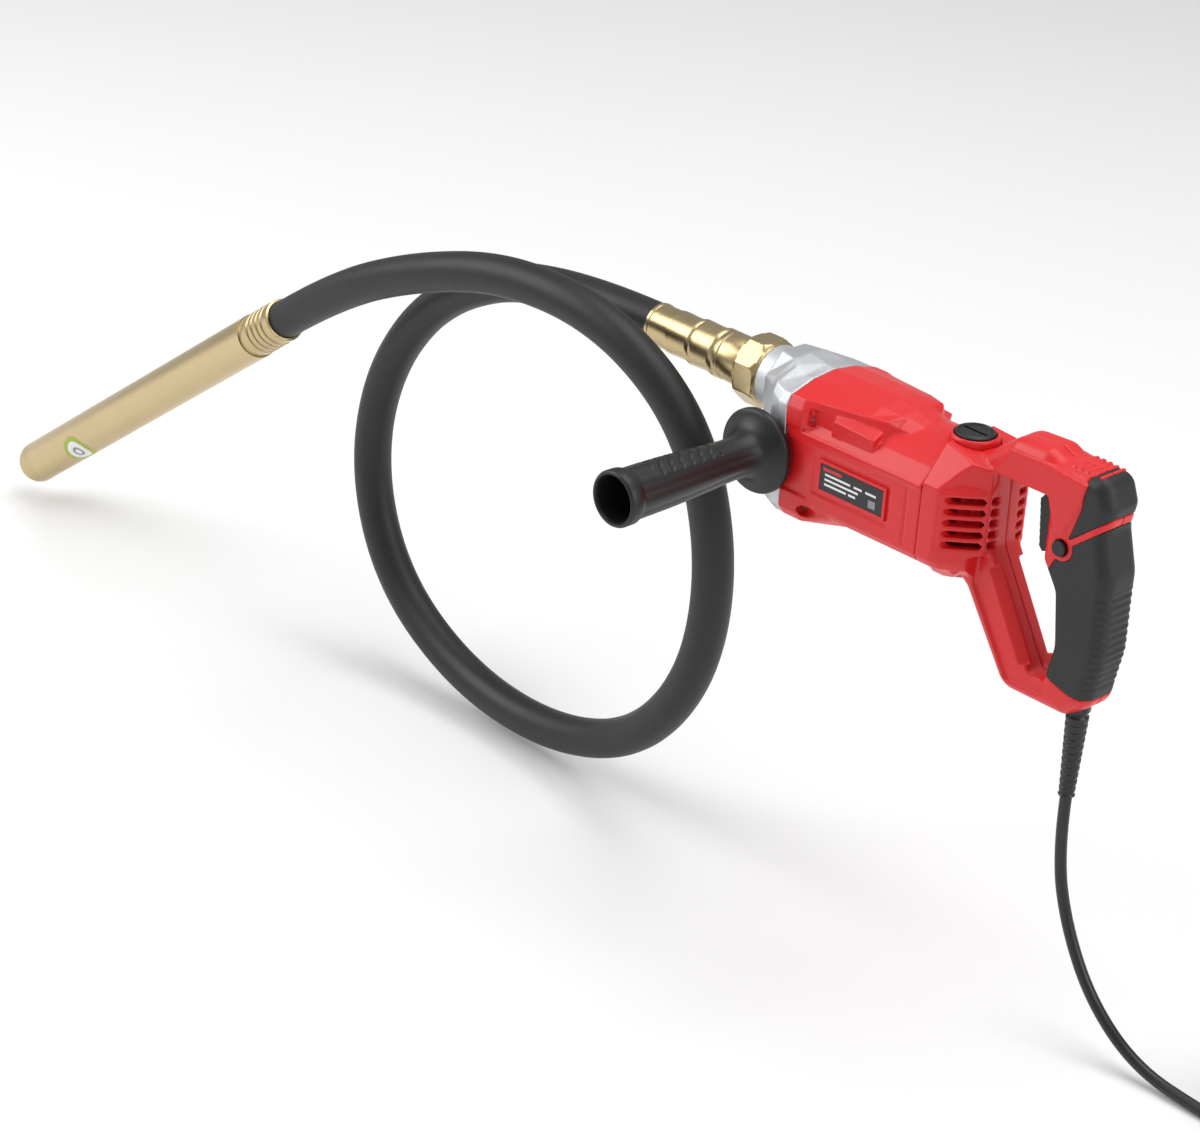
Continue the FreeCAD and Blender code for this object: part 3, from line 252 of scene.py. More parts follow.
def hull(points):
    """The smallest convex solid round some points."""
    work = bmesh.new()
    for p in points:
        work.verts.new(p)
    bmesh.ops.convex_hull(work, input=work.verts)
    bmesh.ops.delete(work, geom=[v for v in work.verts if not v.link_faces], context="VERTS")
    work.verts.index_update()
    shell = [v.co.copy() for v in work.verts], [tuple(v.index for v in f.verts) for f in work.faces]
    work.free()
    return shell


def axes_for(direction):
    along = Vector(direction).normalized()
    side = along.orthogonal() if abs(along.z) > 0.99 else Vector((0, 0, 1)).cross(along)
    side.normalize()
    return along, side, along.cross(side)


def turned(profile, origin, direction, steps=72, around=None):
    """A solid of revolution: profile lists (distance along the axis, radius) from end to end.
    around changes the radius with the angle."""
    along, side, up = axes_for(direction)
    rings = []
    for distance, radius in profile:
        ring = []
        for i in range(steps):
            angle = 2 * math.pi * i / steps
            r = around(distance, radius, angle) if around else radius
            outward = side * math.cos(angle) + up * math.sin(angle)
            ring.append(Vector(origin) + along * distance + outward * r)
        rings.append(ring)
    return loft(rings)


def disc_hole(radius, origin, direction, length, steps=48):
    return turned([(0, radius), (length, radius)], origin, direction, steps)


def shell_object(name, shell):
    verts, faces = shell
    made = mesh_object(name, [Vector(v) * MM - GRIP for v in verts], faces, smooth=False)
    work = bmesh.new()
    work.from_mesh(made.data)
    bmesh.ops.remove_doubles(work, verts=work.verts, dist=1e-6)
    bmesh.ops.recalc_face_normals(work, faces=work.faces)
    work.to_mesh(made.data)
    work.free()
    return made


def bake(made):
    """Puts the result of an object's modifiers in its mesh."""
    graph = bpy.context.evaluated_depsgraph_get()
    graph.update()
    result = bpy.data.meshes.new_from_object(made.evaluated_get(graph))
    old = made.data
    made.modifiers.clear()
    made.data = result
    bpy.data.meshes.remove(old)
    return made


def boolean(made, shells, operation):
    for index, shell in enumerate(shells):
        tool = shell if isinstance(shell, bpy.types.Object) else shell_object("tool_%d" % index, shell)
        step = made.modifiers.new("step", "BOOLEAN")
        step.solver = "MANIFOLD"
        step.operation = operation
        step.object = tool
        bake(made)
        bpy.data.objects.remove(tool)
    return made


def soften(made, voxel, rounds, keep_share=1.0):
    """Rounds every edge a little: a fine remesh, then smoothing, then fewer faces where it is flat."""
    fine = made.modifiers.new("fine", "REMESH")
    fine.mode = "VOXEL"
    fine.voxel_size = voxel * MM
    calm = made.modifiers.new("calm", "SMOOTH")
    calm.factor = 0.5
    calm.iterations = rounds
    if keep_share < 1:
        fewer = made.modifiers.new("fewer", "DECIMATE")
        fewer.ratio = keep_share
    bake(made)
    made.data.polygons.foreach_set("use_smooth", [True] * len(made.data.polygons))
    return made


def cad_copy(name, node):
    """A new object with a welded copy of a CAD node's mesh."""
    made = bpy.data.objects.new(name, nodes[node].data.copy())
    bpy.context.scene.collection.objects.link(made)
    work = bmesh.new()
    work.from_mesh(made.data)
    bmesh.ops.remove_doubles(work, verts=work.verts, dist=2e-6)
    work.to_mesh(made.data)
    work.free()
    return made


def finish_piece(made, surface, body, slot, *stands_for):
    made.data.materials.clear()
    made.data.materials.append(surface)
    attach(made, body)
    if stands_for:
        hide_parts(*stands_for)
    return made


def mirrored(half):
    """A full ring in Y and Z from its +Y half, listed from the top to the bottom."""
    return [(y, z) for y, z in half] + [(-y, z) for y, z in reversed(half) if y > 0]


def stations(*rows):
    return loft([[(x, y, z) for y, z in mirrored(half)] for x, half in rows])


def both_sides(points):
    return [hull(points), hull([(x, -y, z) for x, y, z in points])]

# ---------------------------------------------------------------- motor housing
BODY_HALF = [(0, 14.5), (9, 13.8), (18, 10.8), (26, 7), (33, 2.5), (42, -7), (42, -55), (38.5, -60),
             (24, -67), (0, -68)]
MOTOR_Z = -27.0
BRUSH_X = 181.0


def hood(centre, mid, shoulder, foot):
    return [(0, centre), mid, shoulder, foot, (foot[0] - 3, -12), (0, -12)]


housing_body = stations((60, BODY_HALF), (176.6, BODY_HALF))
housing_hood = stations(
    (60, hood(22.0, (20, 19.8), (38.5, 14.2), (39.5, -3))),
    (76, hood(22.6, (20, 20.4), (37.5, 14.4), (39, -2))),
    (95, hood(22.8, (19, 20.6), (34.5, 15), (36.5, 0))),
    (118, hood(21.5, (17, 19.8), (30.5, 16), (33, 2))),
    (132, hood(18.8, (14, 17.8), (26.5, 16), (30, 4))),
    (136, hood(17.6, (12, 16.6), (21, 12), (24, 6))),
    (150, hood(14.3, (9, 13.2), (17, 9.5), (20, 6))))
# Corner bosses: square at the joint face, with a slanted back where the screw goes in.
upper_ear = [(60, 43.5, -5.5), (60, 43.5, 7), (60, 39.5, 14.4), (60, 26, 17.5), (60, 26, -5.5),
             (74, 43.5, -5), (73, 43.5, 7), (72, 39.5, 14.4), (93, 31, -1), (93, 31, 15.5), (93, 24, 15.5),
             (93, 24, -1)]
lower_ear = [(60, 43.5, -51), (60, 43.5, -64), (60, 38, -71), (60, 20, -71), (60, 20, -51), (78, 43.5, -51),
             (77, 43.5, -64), (76, 38, -71), (112, 36, -58), (108, 26, -67), (100, 20, -60)]
side_band = [(62, -6.8), (62, -14), (131, -14.5), (140, -10.5), (176.6, -10.5), (176.6, -7.4)]
shoulder_strip = [(96, 38.8, -2), (96, 38.8, 7.4), (97, 30, 14), (97, 30, -2),
                  (130, 38.2, -2), (131, 38.2, 5.4), (131, 30, 9.5), (131, 30, -2)]
housing = shell_object("motor_body", housing_body)
boolean(housing, [housing_hood, *both_sides(upper_ear), *both_sides(lower_ear),
                  *both_sides(shoulder_strip)], "UNION")
panel = [(86, -17), (152, -17), (152, -46), (86, -46)]
groove = [(164.6, -12), (166.4, -12), (166.4, -52), (164.6, -52)]
cuts = [turned([(-1, 36.5), (86, 36.5), (112, 24.6), (134, 24.6)], (60, 0, MOTOR_Z), (1, 0, 0))]
for side in (1, -1):
    cuts.append(side_bar(panel, side, 41.2, 44))
    cuts.append(side_bar(groove, side, 40.6, 44))
    cuts.append(disc_hole(4.2, (75, 38.5 * side, -60.5), (1, 0.35 * side, -0.08), 30))
pocket = [(77, 36.5, -3), (77, 50, -3), (77, 36.5, 9.5), (77, 50, 9.5), (93, 36.5, -1.5), (93, 50, -1.5),
          (98, 36.5, 10.5), (98, 50, 10.5)]
cuts += both_sides(pocket)
boolean(housing, cuts, "DIFFERENCE")
boolean(housing, [side_bar(side_band, side, 40, 42.9) for side in (1, -1)], "UNION")
# The last stretch sits inside the handle shells; only the brush bosses come through them.
boolean(housing, [bar([(176.6, -80), (230, -80), (230, 40), (176.6, 40)], "y", -60, 60)], "DIFFERENCE")
carrier = turned([(0, 27), (20, 27), (20.1, 14), (26, 14)], (176, 0, MOTOR_Z), (1, 0, 0))
boss_profile = [(20, 16.5), (42, 16.5), (45.5, 16.2), (47, 15.4)]
bosses = [turned(boss_profile, (BRUSH_X, 0, MOTOR_Z), (0, 0, up)) for up in (1, -1)]
boolean(housing, [carrier, *bosses], "UNION")
boolean(housing, [turned([(-4, 24.5), (17, 24.5), (17.1, 11.2), (27, 11.2)], (176, 0, MOTOR_Z), (1, 0, 0))]
        + [disc_hole(13.8, (BRUSH_X, 0, MOTOR_Z + 38 * up), (0, 0, up), 20) for up in (1, -1)]
        + [disc_hole(6.5, (BRUSH_X, 0, -80), (0, 0, 1), 110)], "DIFFERENCE")
soften(housing, 0.8, 3, 0.45)
finish_piece(housing, red_plastic, "machine", "red_plastic", "motor_housing")


# ---------------------------------------------------------------- gear case
def case_half(crown, shoulder, corner, width, foot):
    """Half of a section of the nose: its top, its sloping shoulder, its side and its rounded foot."""
    return [crown, shoulder, corner, (width, 6.8), (width, -5.5), (width, -51), (width, -64), foot,
            (20, -70.8), (0, -70.8)]


CASE_SECTIONS = (
    (22, [(0, 25), (10.4, 25), (24, 11.4), (25, 10.4), (25, 4), (25, -6), (25, -10.4), (10.4, -25),
          (6, -25), (0, -25)]),
    (37, [(0, 26), (14, 25), (30, 16), (33, 11), (33.5, 2), (34, -34), (34, -43), (26, -54),
          (14, -55), (0, -55)]),
    (43, [(0, 25), (17, 23.5), (36, 15.5), (39, 9.5), (40, 0), (41.5, -50), (41.5, -60), (36, -67),
          (20, -68), (0, -68)]),
    (53, case_half((0, 23.2), (20, 20.2), (39.3, 14), 43.2, (37.8, -70.6))),
    (59.8, case_half((0, 22.4), (20, 20), (39.3, 14), 43.2, (37.8, -70.6))))
gear_case = shell_object("cast_nose", stations(*CASE_SECTIONS))
boolean(gear_case, [turned([(0, 22), (14, 22)], (10, 0, 0), (1, 0, 0)),
                    turned([(0, 15.9), (20, 15.9)], (-6, 0, 0), (1, 0, 0))]
        + [turned([(20, 17.5), (44.5, 16), (45.9, 15)], (42, 0, -30), (0, side, 0)) for side in (1, -1)],
        "UNION")
boolean(gear_case, [turned([(-1, 7.5), (24, 7.5), (24.1, 16.1), (47, 16.1), (47.1, 21.4),
                            (60, 21.4), (60.1, 20), (70, 20)], (-6, 0, 0),
                           (1, 0, 0)),
                    disc_hole(34.2, (50, 0, MOTOR_Z), (1, 0, 0), 20),
                    disc_hole(5.1, (42, 60, -30), (0, -1, 0), 32),
                    disc_hole(5.1, (42, -60, -30), (0, 1, 0), 32)], "DIFFERENCE")
soften(gear_case, 0.7, 7, 0.5)
finish_piece(gear_case, cast_aluminium, "machine", "cast_aluminium", "gear_case")


# ---------------------------------------------------------------- handle shells
def tail_half(width, top, inset=0.0):
    w, k = width - inset, (width - inset) / 42
    t, b = top - inset, inset
    return [(0, t), (9 * k, t - 0.7), (18 * k, t - 3.7), (26 * k, t - 7.5), (33 * k, t - 12),
            (w, -7 - b * 0.4), (w, -55 + b * 0.4), (w - 3.5 * k, -60 + b), (24 * k, -67 + b), (0, -68 + b)]


# The tail of the body, as (place along X, half width, height of its top).
TAIL = ((176.9, 42, 14.5), (188, 42, 14.5), (193.5, 40.2, 14), (206.5, 27.5, 12), (211.5, 21.5, 11),
        (213.6, 18, 10))
TAIL_HOLLOW = ((176, 42, 14.5), (186, 42, 14.5), (192, 40.2, 14), (204, 27.5, 12), (208.5, 22, 11))
TAIL_WALL = 3
tail_outer = stations(*[(x, tail_half(w, top)) for x, w, top in TAIL])
tail_inner = stations(*[(x, tail_half(w, top, TAIL_WALL)) for x, w, top in TAIL_HOLLOW])
ARM_PLATE = [(205, 3), (224, 29), (250, 29.5), (284, 26), (280, 8), (271, -10), (262, -10),
             (256, 9), (214, 9)]
BRACE_RECESS = [(207, -50), (205.5, -71), (240.5, -125.5), (268, -125.5), (272, -119), (264, -111),
                (255, -111), (217, -48)]
# The brace's inner corners are bevelled: where its edge starts, the way it runs, and out of its side.
BRACE_EDGE = Vector((211, 0, -37))
BRACE_WAY = Vector((41, 0, -70.5)).normalized()
BRACE_OUT = Vector((70.5, 0, 41)).normalized()


def brace_bevel(side, leg=8.5):
    corners = [(2, 20), (2, 17 - leg - 2), (0, 17 - leg), (-leg, 17), (-leg, 20)]
    ends = [BRACE_EDGE + BRACE_WAY * way for way in (19, 84)]
    return loft([[end + BRACE_OUT * out + Vector((0, y * side, 0)) for out, y in corners] for end in ends])


VENT_HEIGHTS = [MOTOR_Z + 7.6 * step for step in (-2, -1, 0, 1, 2)]
VENT_HALF = 2.3
ARM_RIBS = ((267, 32.9), (272.2, 32.9), (277.4, 32.8), (282.6, 32.7), (287.8, 32.5))


def handle_shell(name, node, side):
    made = cad_copy(name, node)
    tail = shell_object("tail", tail_outer)
    other_half = side_bar([(150, -200), (350, -200), (350, 100), (150, 100)], side, -60, 0.05)
    boolean(tail, [tail_inner, other_half], "DIFFERENCE")
    ribs = [side_bar([(x, 29), (x + 2.6, 29), (x + 2.6, top), (x, top)], side, 0.1, 11.5)
            for x, top in ARM_RIBS]
    boolean(made, [tail, side_bar(ARM_PLATE, side, 12, 18.1), *ribs], "UNION")
    cuts = [side_bar(BRACE_RECESS, side, 14.4, 30),
            disc_hole(17.0, (BRUSH_X, 0, MOTOR_Z), (0, 0, 1), 80),
            disc_hole(17.0, (BRUSH_X, 0, MOTOR_Z), (0, 0, -1), 80)]
    for z in VENT_HEIGHTS:
        low, high = z - VENT_HALF, z + VENT_HALF
        slot = [(194.5, low), (211, low), (212, z), (211, high), (194.5, high), (193.5, z)]
        cuts.append(side_bar(slot, side, 14, 60))
        cuts.append(side_bar([(209, low), (222, low), (222, high), (209, high)], side, 9.5, 16.5))
    boolean(made, cuts + [brace_bevel(side)], "DIFFERENCE")
    soften(made, 0.8, 4, 0.45)
    return finish_piece(made, red_plastic, "machine", "red_plastic", node)


def ripple(made, depth_at):
    """Moves each point in along its normal by depth_at(point, normal), in millimetres."""
    normals = [v.normal.copy() for v in made.data.vertices]
    for vertex, normal in zip(made.data.vertices, normals):
        depth = depth_at((vertex.co + GRIP) / MM, normal)
        if depth:
            vertex.co -= normal * depth * MM
    made.data.update()


def eased(value, low, high, edge):
    """1 between low and high, falling smoothly to 0 over edge on both sides."""
    gap = max(low - value, value - high, 0) / edge
    return max(0.0, 1 - gap * gap * (3 - 2 * min(gap, 1))) if gap < 1 else 0.0


def grip_ribs(point, normal):
    share = eased(point.z, -108, -42, 4) * max(0.0, normal.x - 0.25) * 1.4
    return share * 0.9 * (0.5 - 0.5 * math.cos(2 * math.pi * point.z / 5.2)) if share else 0.0


handle_shell("handle_left_red", "handle_shell_left", -1)
handle_shell("handle_right_red", "handle_shell_right", 1)
for name, node in (("grip_overmould", "grip_rubber"), ("handle_corner", "handle_cap_rubber")):
    rubber = soften(cad_copy(name, node), 0.7, 4, 0.6)
    if node == "grip_rubber":
        ripple(rubber, grip_ribs)
    finish_piece(rubber, black_rubber, "machine", "black_rubber", node)


# ---------------------------------------------------------------- brass coupling and ferrule
def with_uv(made, origin, direction):
    """Lays UVs round a turned piece: U along its axis and V round it, both in metres."""
    along, side, up = axes_for(direction)
    start = Vector(origin) * MM - GRIP
    layer = made.data.uv_layers.new(name="turned")
    for face in made.data.polygons:
        for corner in face.loop_indices:
            offset = made.data.vertices[made.data.loops[corner].vertex_index].co - start
            layer.data[corner].uv = (offset.dot(along), math.atan2(offset.dot(up), offset.dot(side)) * 0.01)
    return made


def lathe(name, profile, origin, direction, steps=96, around=None, bore=None):
    """A turned piece with its own UVs. bore lists the profile of what is taken out of it."""
    made = shell_object(name, turned(profile, origin, direction, steps, around))
    if bore:
        boolean(made, [turned(bore, origin, direction, 64)], "DIFFERENCE")
    made.data.polygons.foreach_set("use_smooth", [True] * len(made.data.polygons))
    made.data.set_sharp_from_angle(angle=math.radians(38))
    return with_uv(made, origin, direction)


ferrule_profile = [(0, 14.5), (0.8, 15.4), (3, 15.4), (3.6, 14.9), (18, 14.8), (18.8, 15.6), (21.4, 15.7),
                   (22, 15.7)]
for step in (1, 2):
    start, r = 22 * step, 14.8 + 0.8 * step
    ferrule_profile += [(start + 0.6, r), (start + 3, r), (start + 8, r - 0.25), (start + 14, r - 0.25),
                        (start + 18, r), (start + 18.6, r + 0.9), (start + 21, r + 0.9),
                        (start + 21.8, r + 0.4)]
ferrule_profile += [(66.4, 16.6), (67.2, 17.2), (70.5, 17.2), (71.2, 16.4), (74.2, 16.4), (75, 17.2),
                    (91.5, 17.2), (92.2, 16.8), (96.4, 16.8)]
ferrule = lathe("crimped_ferrule", ferrule_profile, (-102.5, 0, 0), (1, 0, 0), bore=[(-1, 6.6), (98, 6.6)])
finish_piece(ferrule, brass, "machine", "brass", "hose_ferrule")


def octagon(distance, radius, angle):
    """Eight flats with the corners turned off near both ends."""
    flat = 23.0 / max(math.cos((angle + math.pi / 8) % (math.pi / 4) - math.pi / 8), 0.9)
    return min(radius, flat)


nut_profile = [(0, 20.3), (0.6, 21.6), (2.2, 23.3), (3.6, 24.5), (4.6, 25.2), (16.4, 25.2), (18.4, 24.4),
               (20, 23.3), (21.3, 21.8), (22, 20.6)]
nut = lathe("octagon_nut", nut_profile, (-12, 0, 0), (1, 0, 0), 192, octagon,
            bore=[(-1, 17.4), (6.2, 17.4), (6.3, 16.2), (24, 16.2)])
finish_piece(nut, brass, "machine", "brass", "coupling_nut")


# ---------------------------------------------------------------- hose, as a tube along its own line
def nurbs_line(name, points):
    """An open curve that runs smoothly inside the corners of a route."""
    data = bpy.data.curves.new(name, "CURVE")
    data.dimensions = "3D"
    data.resolution_u = 24
    line = data.splines.new("NURBS")
    line.points.add(len(points) - 1)
    for point, place in zip(line.points, points):
        point.co = (*place, 1)
    line.order_u = 3
    line.use_endpoint_u = True
    made = bpy.data.objects.new(name, data)
    bpy.context.scene.collection.objects.link(made)
    return made


HOSE_ROUTE = [at(-0.1025, 0, 0), at(-0.212, 0, 0), at(-0.320, -0.001, -0.044), at(-0.385, -0.002, -0.122),
              at(-0.402, -0.004, -0.214), at(-0.362, -0.009, -0.296), at(-0.272, -0.014, -0.341),
              at(-0.166, -0.019, -0.344), at(-0.072, -0.024, -0.307), at(-0.011, -0.030, -0.228),
              at(0.005, -0.036, -0.130), at(-0.022, -0.042, -0.038), at(-0.098, -0.049, 0.014),
              at(-0.195, -0.054, 0.020), at(-0.290, -0.057, -0.008), at(-0.378, -0.058, -0.050),
              at(-0.439, -0.058, -0.094)]
hose = nurbs_line("hose_line", HOSE_ROUTE)
hose.data.bevel_depth = 0.0145
hose.data.bevel_resolution = 12
hose.data.materials.append(hose_rubber)
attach(hose, "machine")
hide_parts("hose")

# ---------------------------------------------------------------- vibrating needle
ROOT = Vector((-439, -58, -94))
NEEDLE_DIR = (HOSE_ROUTE[-1] - HOSE_ROUTE[-2]).normalized()


def along_needle(distance):
    return ROOT + NEEDLE_DIR * distance


socket_profile = [(0, 15.2), (0.8, 16.6)]
for groove in (7.8, 14.6, 21.4, 28.2):
    socket_profile += [(groove, 16.6), (groove + 0.5, 15.7), (groove + 1.9, 15.7), (groove + 2.4, 16.6),
                       (groove + 3.4, 16.9), (groove + 4.8, 16.6)]
socket_profile += [(38, 16.6), (38.6, 16.0), (41.2, 16.0), (41.9, 16.3)]
socket = lathe("needle_crimp", socket_profile, ROOT, NEEDLE_DIR,
               bore=[(-1, 14.9), (28, 14.9), (28.1, 13), (43, 13)])
finish_piece(socket, brass, "machine", "brass", "needle_socket")

# A round mark near the nose, bent to the barrel: a white disc with a green ring.
facing = Vector((45, -64, 38)).normalized() * 0.8 + Vector((0, 0, -1)) * 0.75
FACING = (facing - NEEDLE_DIR * facing.dot(NEEDLE_DIR)).normalized()
ROUND_WAY = NEEDLE_DIR.cross(FACING)


def sticker(name, radii, lift, surface):
    verts, faces, steps = [], [], 64
    for layer, order in ((lift, radii), (lift + 0.12, radii[::-1])):
        for r in order:
            for i in range(steps):
                a = 2 * math.pi * i / steps
                turn = r * math.sin(a) / 17.5
                place = along_needle(322 + r * math.cos(a)) + \
                    (FACING * math.cos(turn) + ROUND_WAY * math.sin(turn)) * (17.5 + layer)
                verts.append(place * MM - GRIP)
    rows = 2 * len(radii)
    for row in range(rows):
        for i in range(steps):
            j = (i + 1) % steps
            a, b = row * steps, (row + 1) % rows * steps
            faces.append((a + i, a + j, b + j, b + i))
    made = mesh_object(name, verts, faces, smooth=False)
    return finish_piece(made, surface, "machine", "brass")


sticker("mark_disc", [0.3, 3, 6, 9, 11], 0.0, label_white)
sticker("mark_ring", [11, 12.5, 14, 15.5], 0.0, label_green)
sticker("mark_bar", [3.2, 4.4, 5.4], 0.1, label_grey)


# ---------------------------------------------------------------- side handle
def finger_grip(distance, radius, angle):
    """Round with eight soft flats, and slanted finger grooves on the side that faces up."""
    share = eased(distance, 26, 118, 8)
    flats = 0.9 * (1 - abs(math.cos(4 * angle))) * share
    turn = (angle - GRIP_UP + math.pi) % (2 * math.pi) - math.pi
    rib = 0.0
    if abs(turn) < 0.75 and 44 < distance < 106:
        place = (distance + 7 * turn) % 9 - 4.5
        rib = 0.9 * max(0.0, 1 - (place / 1.4) ** 2) * min(1, (0.75 - abs(turn)) * 6)
    return radius - flats - rib


SIDE_ORIGIN = (42, -46, -30)
_, side_axis, up_axis = axes_for((0, -1, 0))
GRIP_UP = math.atan2(up_axis.z, side_axis.z)
side_profile = [(0, 27.6), (0.8, 28.8), (1.8, 29), (4.4, 29), (5.4, 28.5), (6.2, 27.3), (6.6, 25.6),
                (7.4, 23.4), (9, 20.2), (11, 17.6), (14, 15.6), (17, 14.6), (22, 14), (30, 14), (42, 14.4)]
side_profile += [(42 + step / 2, 14.4 + 3.0 * (step / 156) + 0.7 * math.sin(step / 156 * math.pi))
                 for step in range(1, 157)]
side_profile += [(121, 17.5), (122.6, 18.6), (124, 19), (131, 19), (132.4, 18.4), (133, 17.4)]
side_handle = lathe("turned_grip", side_profile, SIDE_ORIGIN, (0, -1, 0), 128, finger_grip,
                    bore=[(92, 12), (94, 14.6), (130.5, 15.4), (132, 16), (134, 17)])
boolean(side_handle, [disc_hole(5.2, (42, -45, -30), (0, -1, 0), 26)], "DIFFERENCE")
with_uv(side_handle, SIDE_ORIGIN, (0, -1, 0))
finish_piece(side_handle, black_plastic, "machine", "black_plastic", "side_handle")


# ---------------------------------------------------------------- label
def label_piece(name, x0, x1, z0, z1, low, high, surface, corner=0.0):
    c = corner
    outline = [(x0, z0), (x1, z0), (x1, z1), (x0, z1)]
    if c:
        outline = [(x0 + c, z0), (x1 - c, z0), (x1, z0 + c), (x1, z1 - c),
                   (x1 - c, z1), (x0 + c, z1), (x0, z1 - c), (x0, z0 + c)]
    made = shell_object(name, bar(outline, "y", -high, -low))
    return finish_piece(made, surface, "machine", "label_black")


plate = label_piece("label_base", 93, 147, -40, -22, 41.0, 42.3, label_black, 1.5)
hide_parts("label_plate")
rim_outer = [(90.6, -42.4), (149.4, -42.4), (149.4, -19.6), (90.6, -19.6)]
rim = shell_object("label_rim", bar(rim_outer, "y", -42.7, -41.0))
rim_inner = [(92.8, -40.2), (147.2, -40.2), (147.2, -21.8), (92.8, -21.8)]
boolean(rim, [bar(rim_inner, "y", -44, -40)], "DIFFERENCE")
finish_piece(soften(rim, 0.35, 2), red_plastic, "machine", "red_plastic")
label_piece("label_red_band", 95, 111, -26.2, -24, 42.2, 42.36, label_red)
for index, (x0, x1, z) in enumerate(((97, 119, -28.6), (122, 129, -28.6), (132, 141, -28.6), (97, 126, -32.0),
                                     (97, 116, -35.4), (118, 124, -35.4))):
    label_piece("label_rule_%d" % index, x0, x1, z - 0.75, z + 0.75, 42.2, 42.36, label_white)
label_piece("label_square", 135, 141, -37.6, -32.4, 42.2, 42.36, label_grey)


# ---------------------------------------------------------------- brush caps, trigger and lock button
CAP_SEAT = 39.1
cap_profile = [(0, 13.2), (6.6, 13.4), (8.6, 13.2), (9.6, 12.2), (9.9, 11.0), (9.2, 10.6), (9.0, 0.4)]
cap_slot = [(BRUSH_X - 9.5, -1.1), (BRUSH_X + 9.5, -1.1), (BRUSH_X + 9.5, 1.1), (BRUSH_X - 9.5, 1.1)]
for index, up in enumerate((1, -1)):
    height = MOTOR_Z + CAP_SEAT * up
    cap = shell_object("brush_cap_%d" % index, turned(cap_profile, (BRUSH_X, 0, height), (0, 0, up), 72))
    boolean(cap, [bar(cap_slot, "z", *sorted((height + 7.4 * up, height + 12 * up)))], "DIFFERENCE")
    cap.data.polygons.foreach_set("use_smooth", [True] * len(cap.data.polygons))
    cap.data.set_sharp_from_angle(angle=math.radians(35))
    finish_piece(cap, black_plastic, "machine", "black_plastic", *(["brush_caps"] if index == 0 else []))

trigger = soften(cad_copy("soft_trigger", "trigger"), 0.5, 4, 0.6)
finish_piece(trigger, black_plastic, "trigger", "black_plastic", "trigger")
button = soften(cad_copy("soft_button", "lock_button"), 0.35, 4, 0.7)
finish_piece(button, black_plastic, "lock_button", "black_plastic", "lock_button")


# ---------------------------------------------------------------- strain relief, mains cord, coil and plug
relief_profile = [(0, 7.9), (0.8, 8.0), (8.5, 8.0), (9.4, 7.5), (10.4, 6.2), (11.4, 6.2)]
for step in range(11):
    place, r = 13.0 + 5.1 * step, 7.5 - 0.21 * step
    relief_profile += [(place, r - 0.5), (place + 0.5, r), (place + 2.9, r - 0.05), (place + 3.4, r - 0.6),
                       (place + 4.4, r - 0.75)]
relief_profile += [(69.2, 5.0), (69.8, 5.5), (70.6, 5.5), (71, 4.6)]
RELIEF_START = (288, 0, -122)
relief = lathe("ribbed_sleeve", relief_profile, RELIEF_START, (0, 0, -1), 64, bore=[(-1, 4.1), (72, 4.1)])
finish_piece(relief, cord_rubber, "machine", "cord_rubber", "strain_relief")

CORD_ROUTE = [at(0.288, 0, -0.193), at(0.288, 0, -0.236), at(0.302, 0, -0.283), at(0.330, 0, -0.328),
              at(0.372, 0, -0.357), at(0.425, 0, -0.361), at(0.475, 0, -0.361)]
COIL = Vector((0.476, 0.049, 0.0))
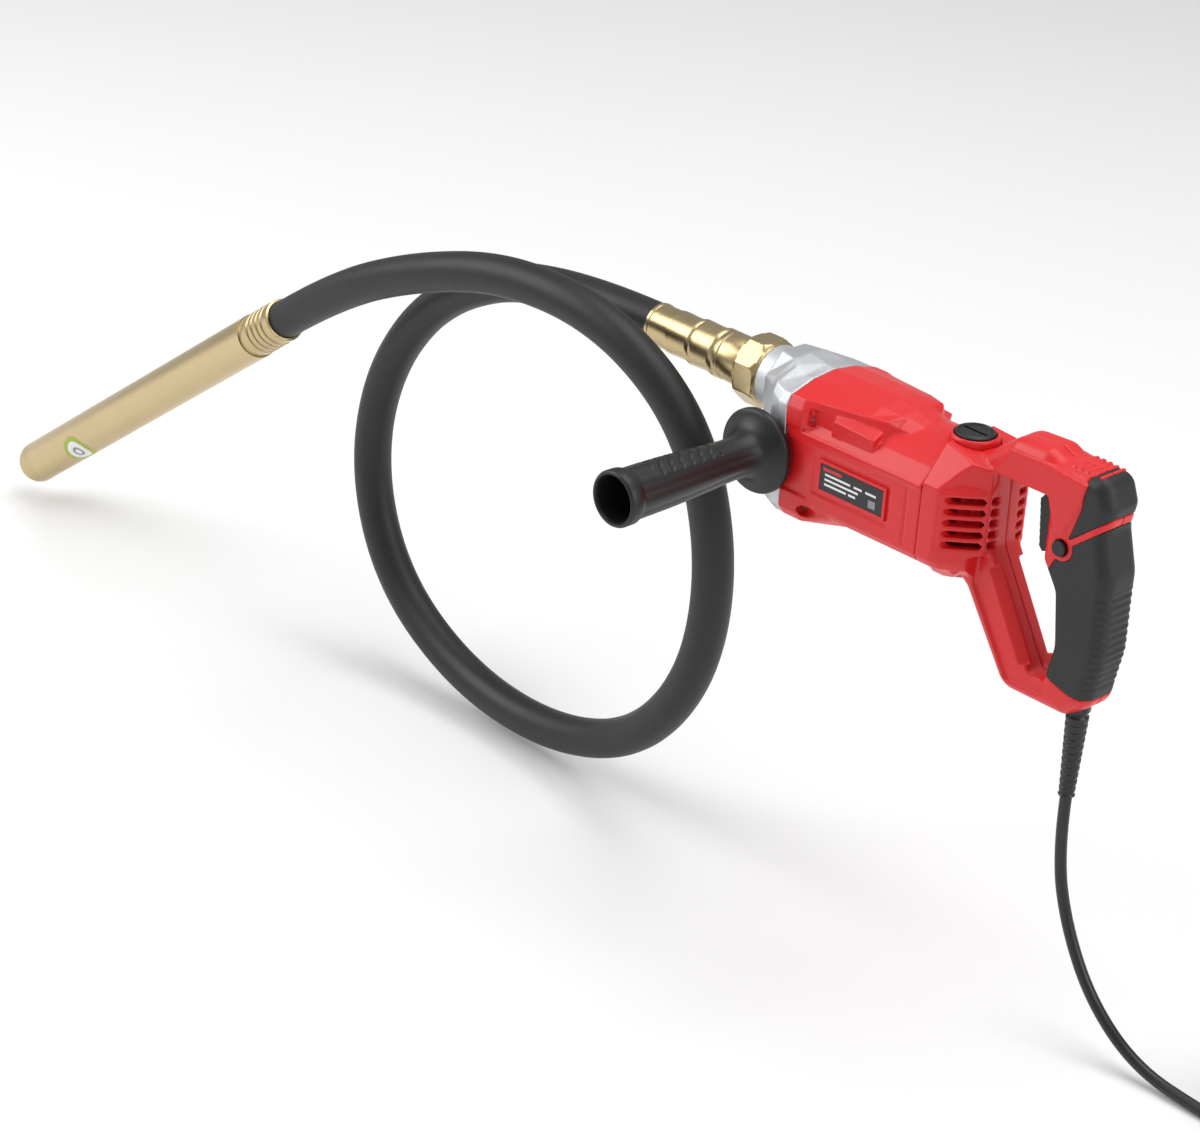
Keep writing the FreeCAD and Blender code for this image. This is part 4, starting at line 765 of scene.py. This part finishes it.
# Each turn of the coil: from and to this many degrees, its start and end radius and height, in mm.
TURNS = ((-90, 210, 49, 49, -361, -361), (210, 270, 49, 41, -361, -361), (270, 570, 41, 41, -361, -361),
         (570, 630, 41, 41, -361, -353), (630, 930, 41, 41, -353, -353), (930, 990, 41, 41, -353, -345),
         (990, 1290, 41, 41, -345, -345), (1290, 1350, 41, 49, -345, -345), (1350, 1650, 49, 49, -345, -345),
         (1650, 1710, 49, 49, -345, -353), (1710, 1800, 49, 49, -353, -353))
CORNER_CUT = 0.9924        # the line runs inside the corners of its points, by this share of the radius
coil_points = []
for start, end, r0, r1, z0, z1 in TURNS:
    count = max(2, round((end - start) / 20))
    for i in range(count):
        share = i / count
        soft = share * share * (3 - 2 * share)
        angle = math.radians(start + (end - start) * share)
        r, z = (r0 + (r1 - r0) * soft) / CORNER_CUT, z0 + (z1 - z0) * soft
        coil_points.append(at(COIL.x + r * MM * math.cos(angle), COIL.y + r * MM * math.sin(angle), z * MM))
coil_points.append(at(0.525, 0.049, -0.353))
coil_points += [at(0.525, 0.060, -0.353), at(0.525, 0.0795, -0.353)]
cord = nurbs_line("mains_line", CORD_ROUTE[:-1] + [at(0.462, 0, -0.361)] + coil_points[1:])
cord.data.bevel_depth = 0.004
cord.data.bevel_resolution = 6
cord.data.materials.append(cord_rubber)
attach(cord, "machine")
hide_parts("mains_cord", "cord_coil")

PLUG_START = (525, 79.4, -353)
boot_profile = [(0, 4.6), (0.8, 5.6), (3, 5.8)]
for step in range(4):
    place, r = 4.0 + 4.6 * step, 6.0 + 0.55 * step
    boot_profile += [(place, r), (place + 2.6, r + 0.3), (place + 3.0, r - 0.7), (place + 4.0, r - 0.6)]
boot_profile += [(23, 8.4), (26, 8.4)]
plug = cad_copy("moulded_plug", "plug_body")
boolean(plug, [turned([(15, 9.5), (27, 9.5)], PLUG_START, (0, 1, 0), 48)], "UNION")
soften(plug, 0.7, 8, 0.5)
finish_piece(plug, cord_rubber, "machine", "cord_rubber", "plug_body")
boot = lathe("plug_sleeve", boot_profile, PLUG_START, (0, 1, 0), 64)
finish_piece(boot, cord_rubber, "machine", "cord_rubber")
pins = soften(cad_copy("round_pins", "plug_pins"), 0.3, 5, 0.6)
finish_piece(pins, plain_steel, "machine", "steel", "plug_pins")
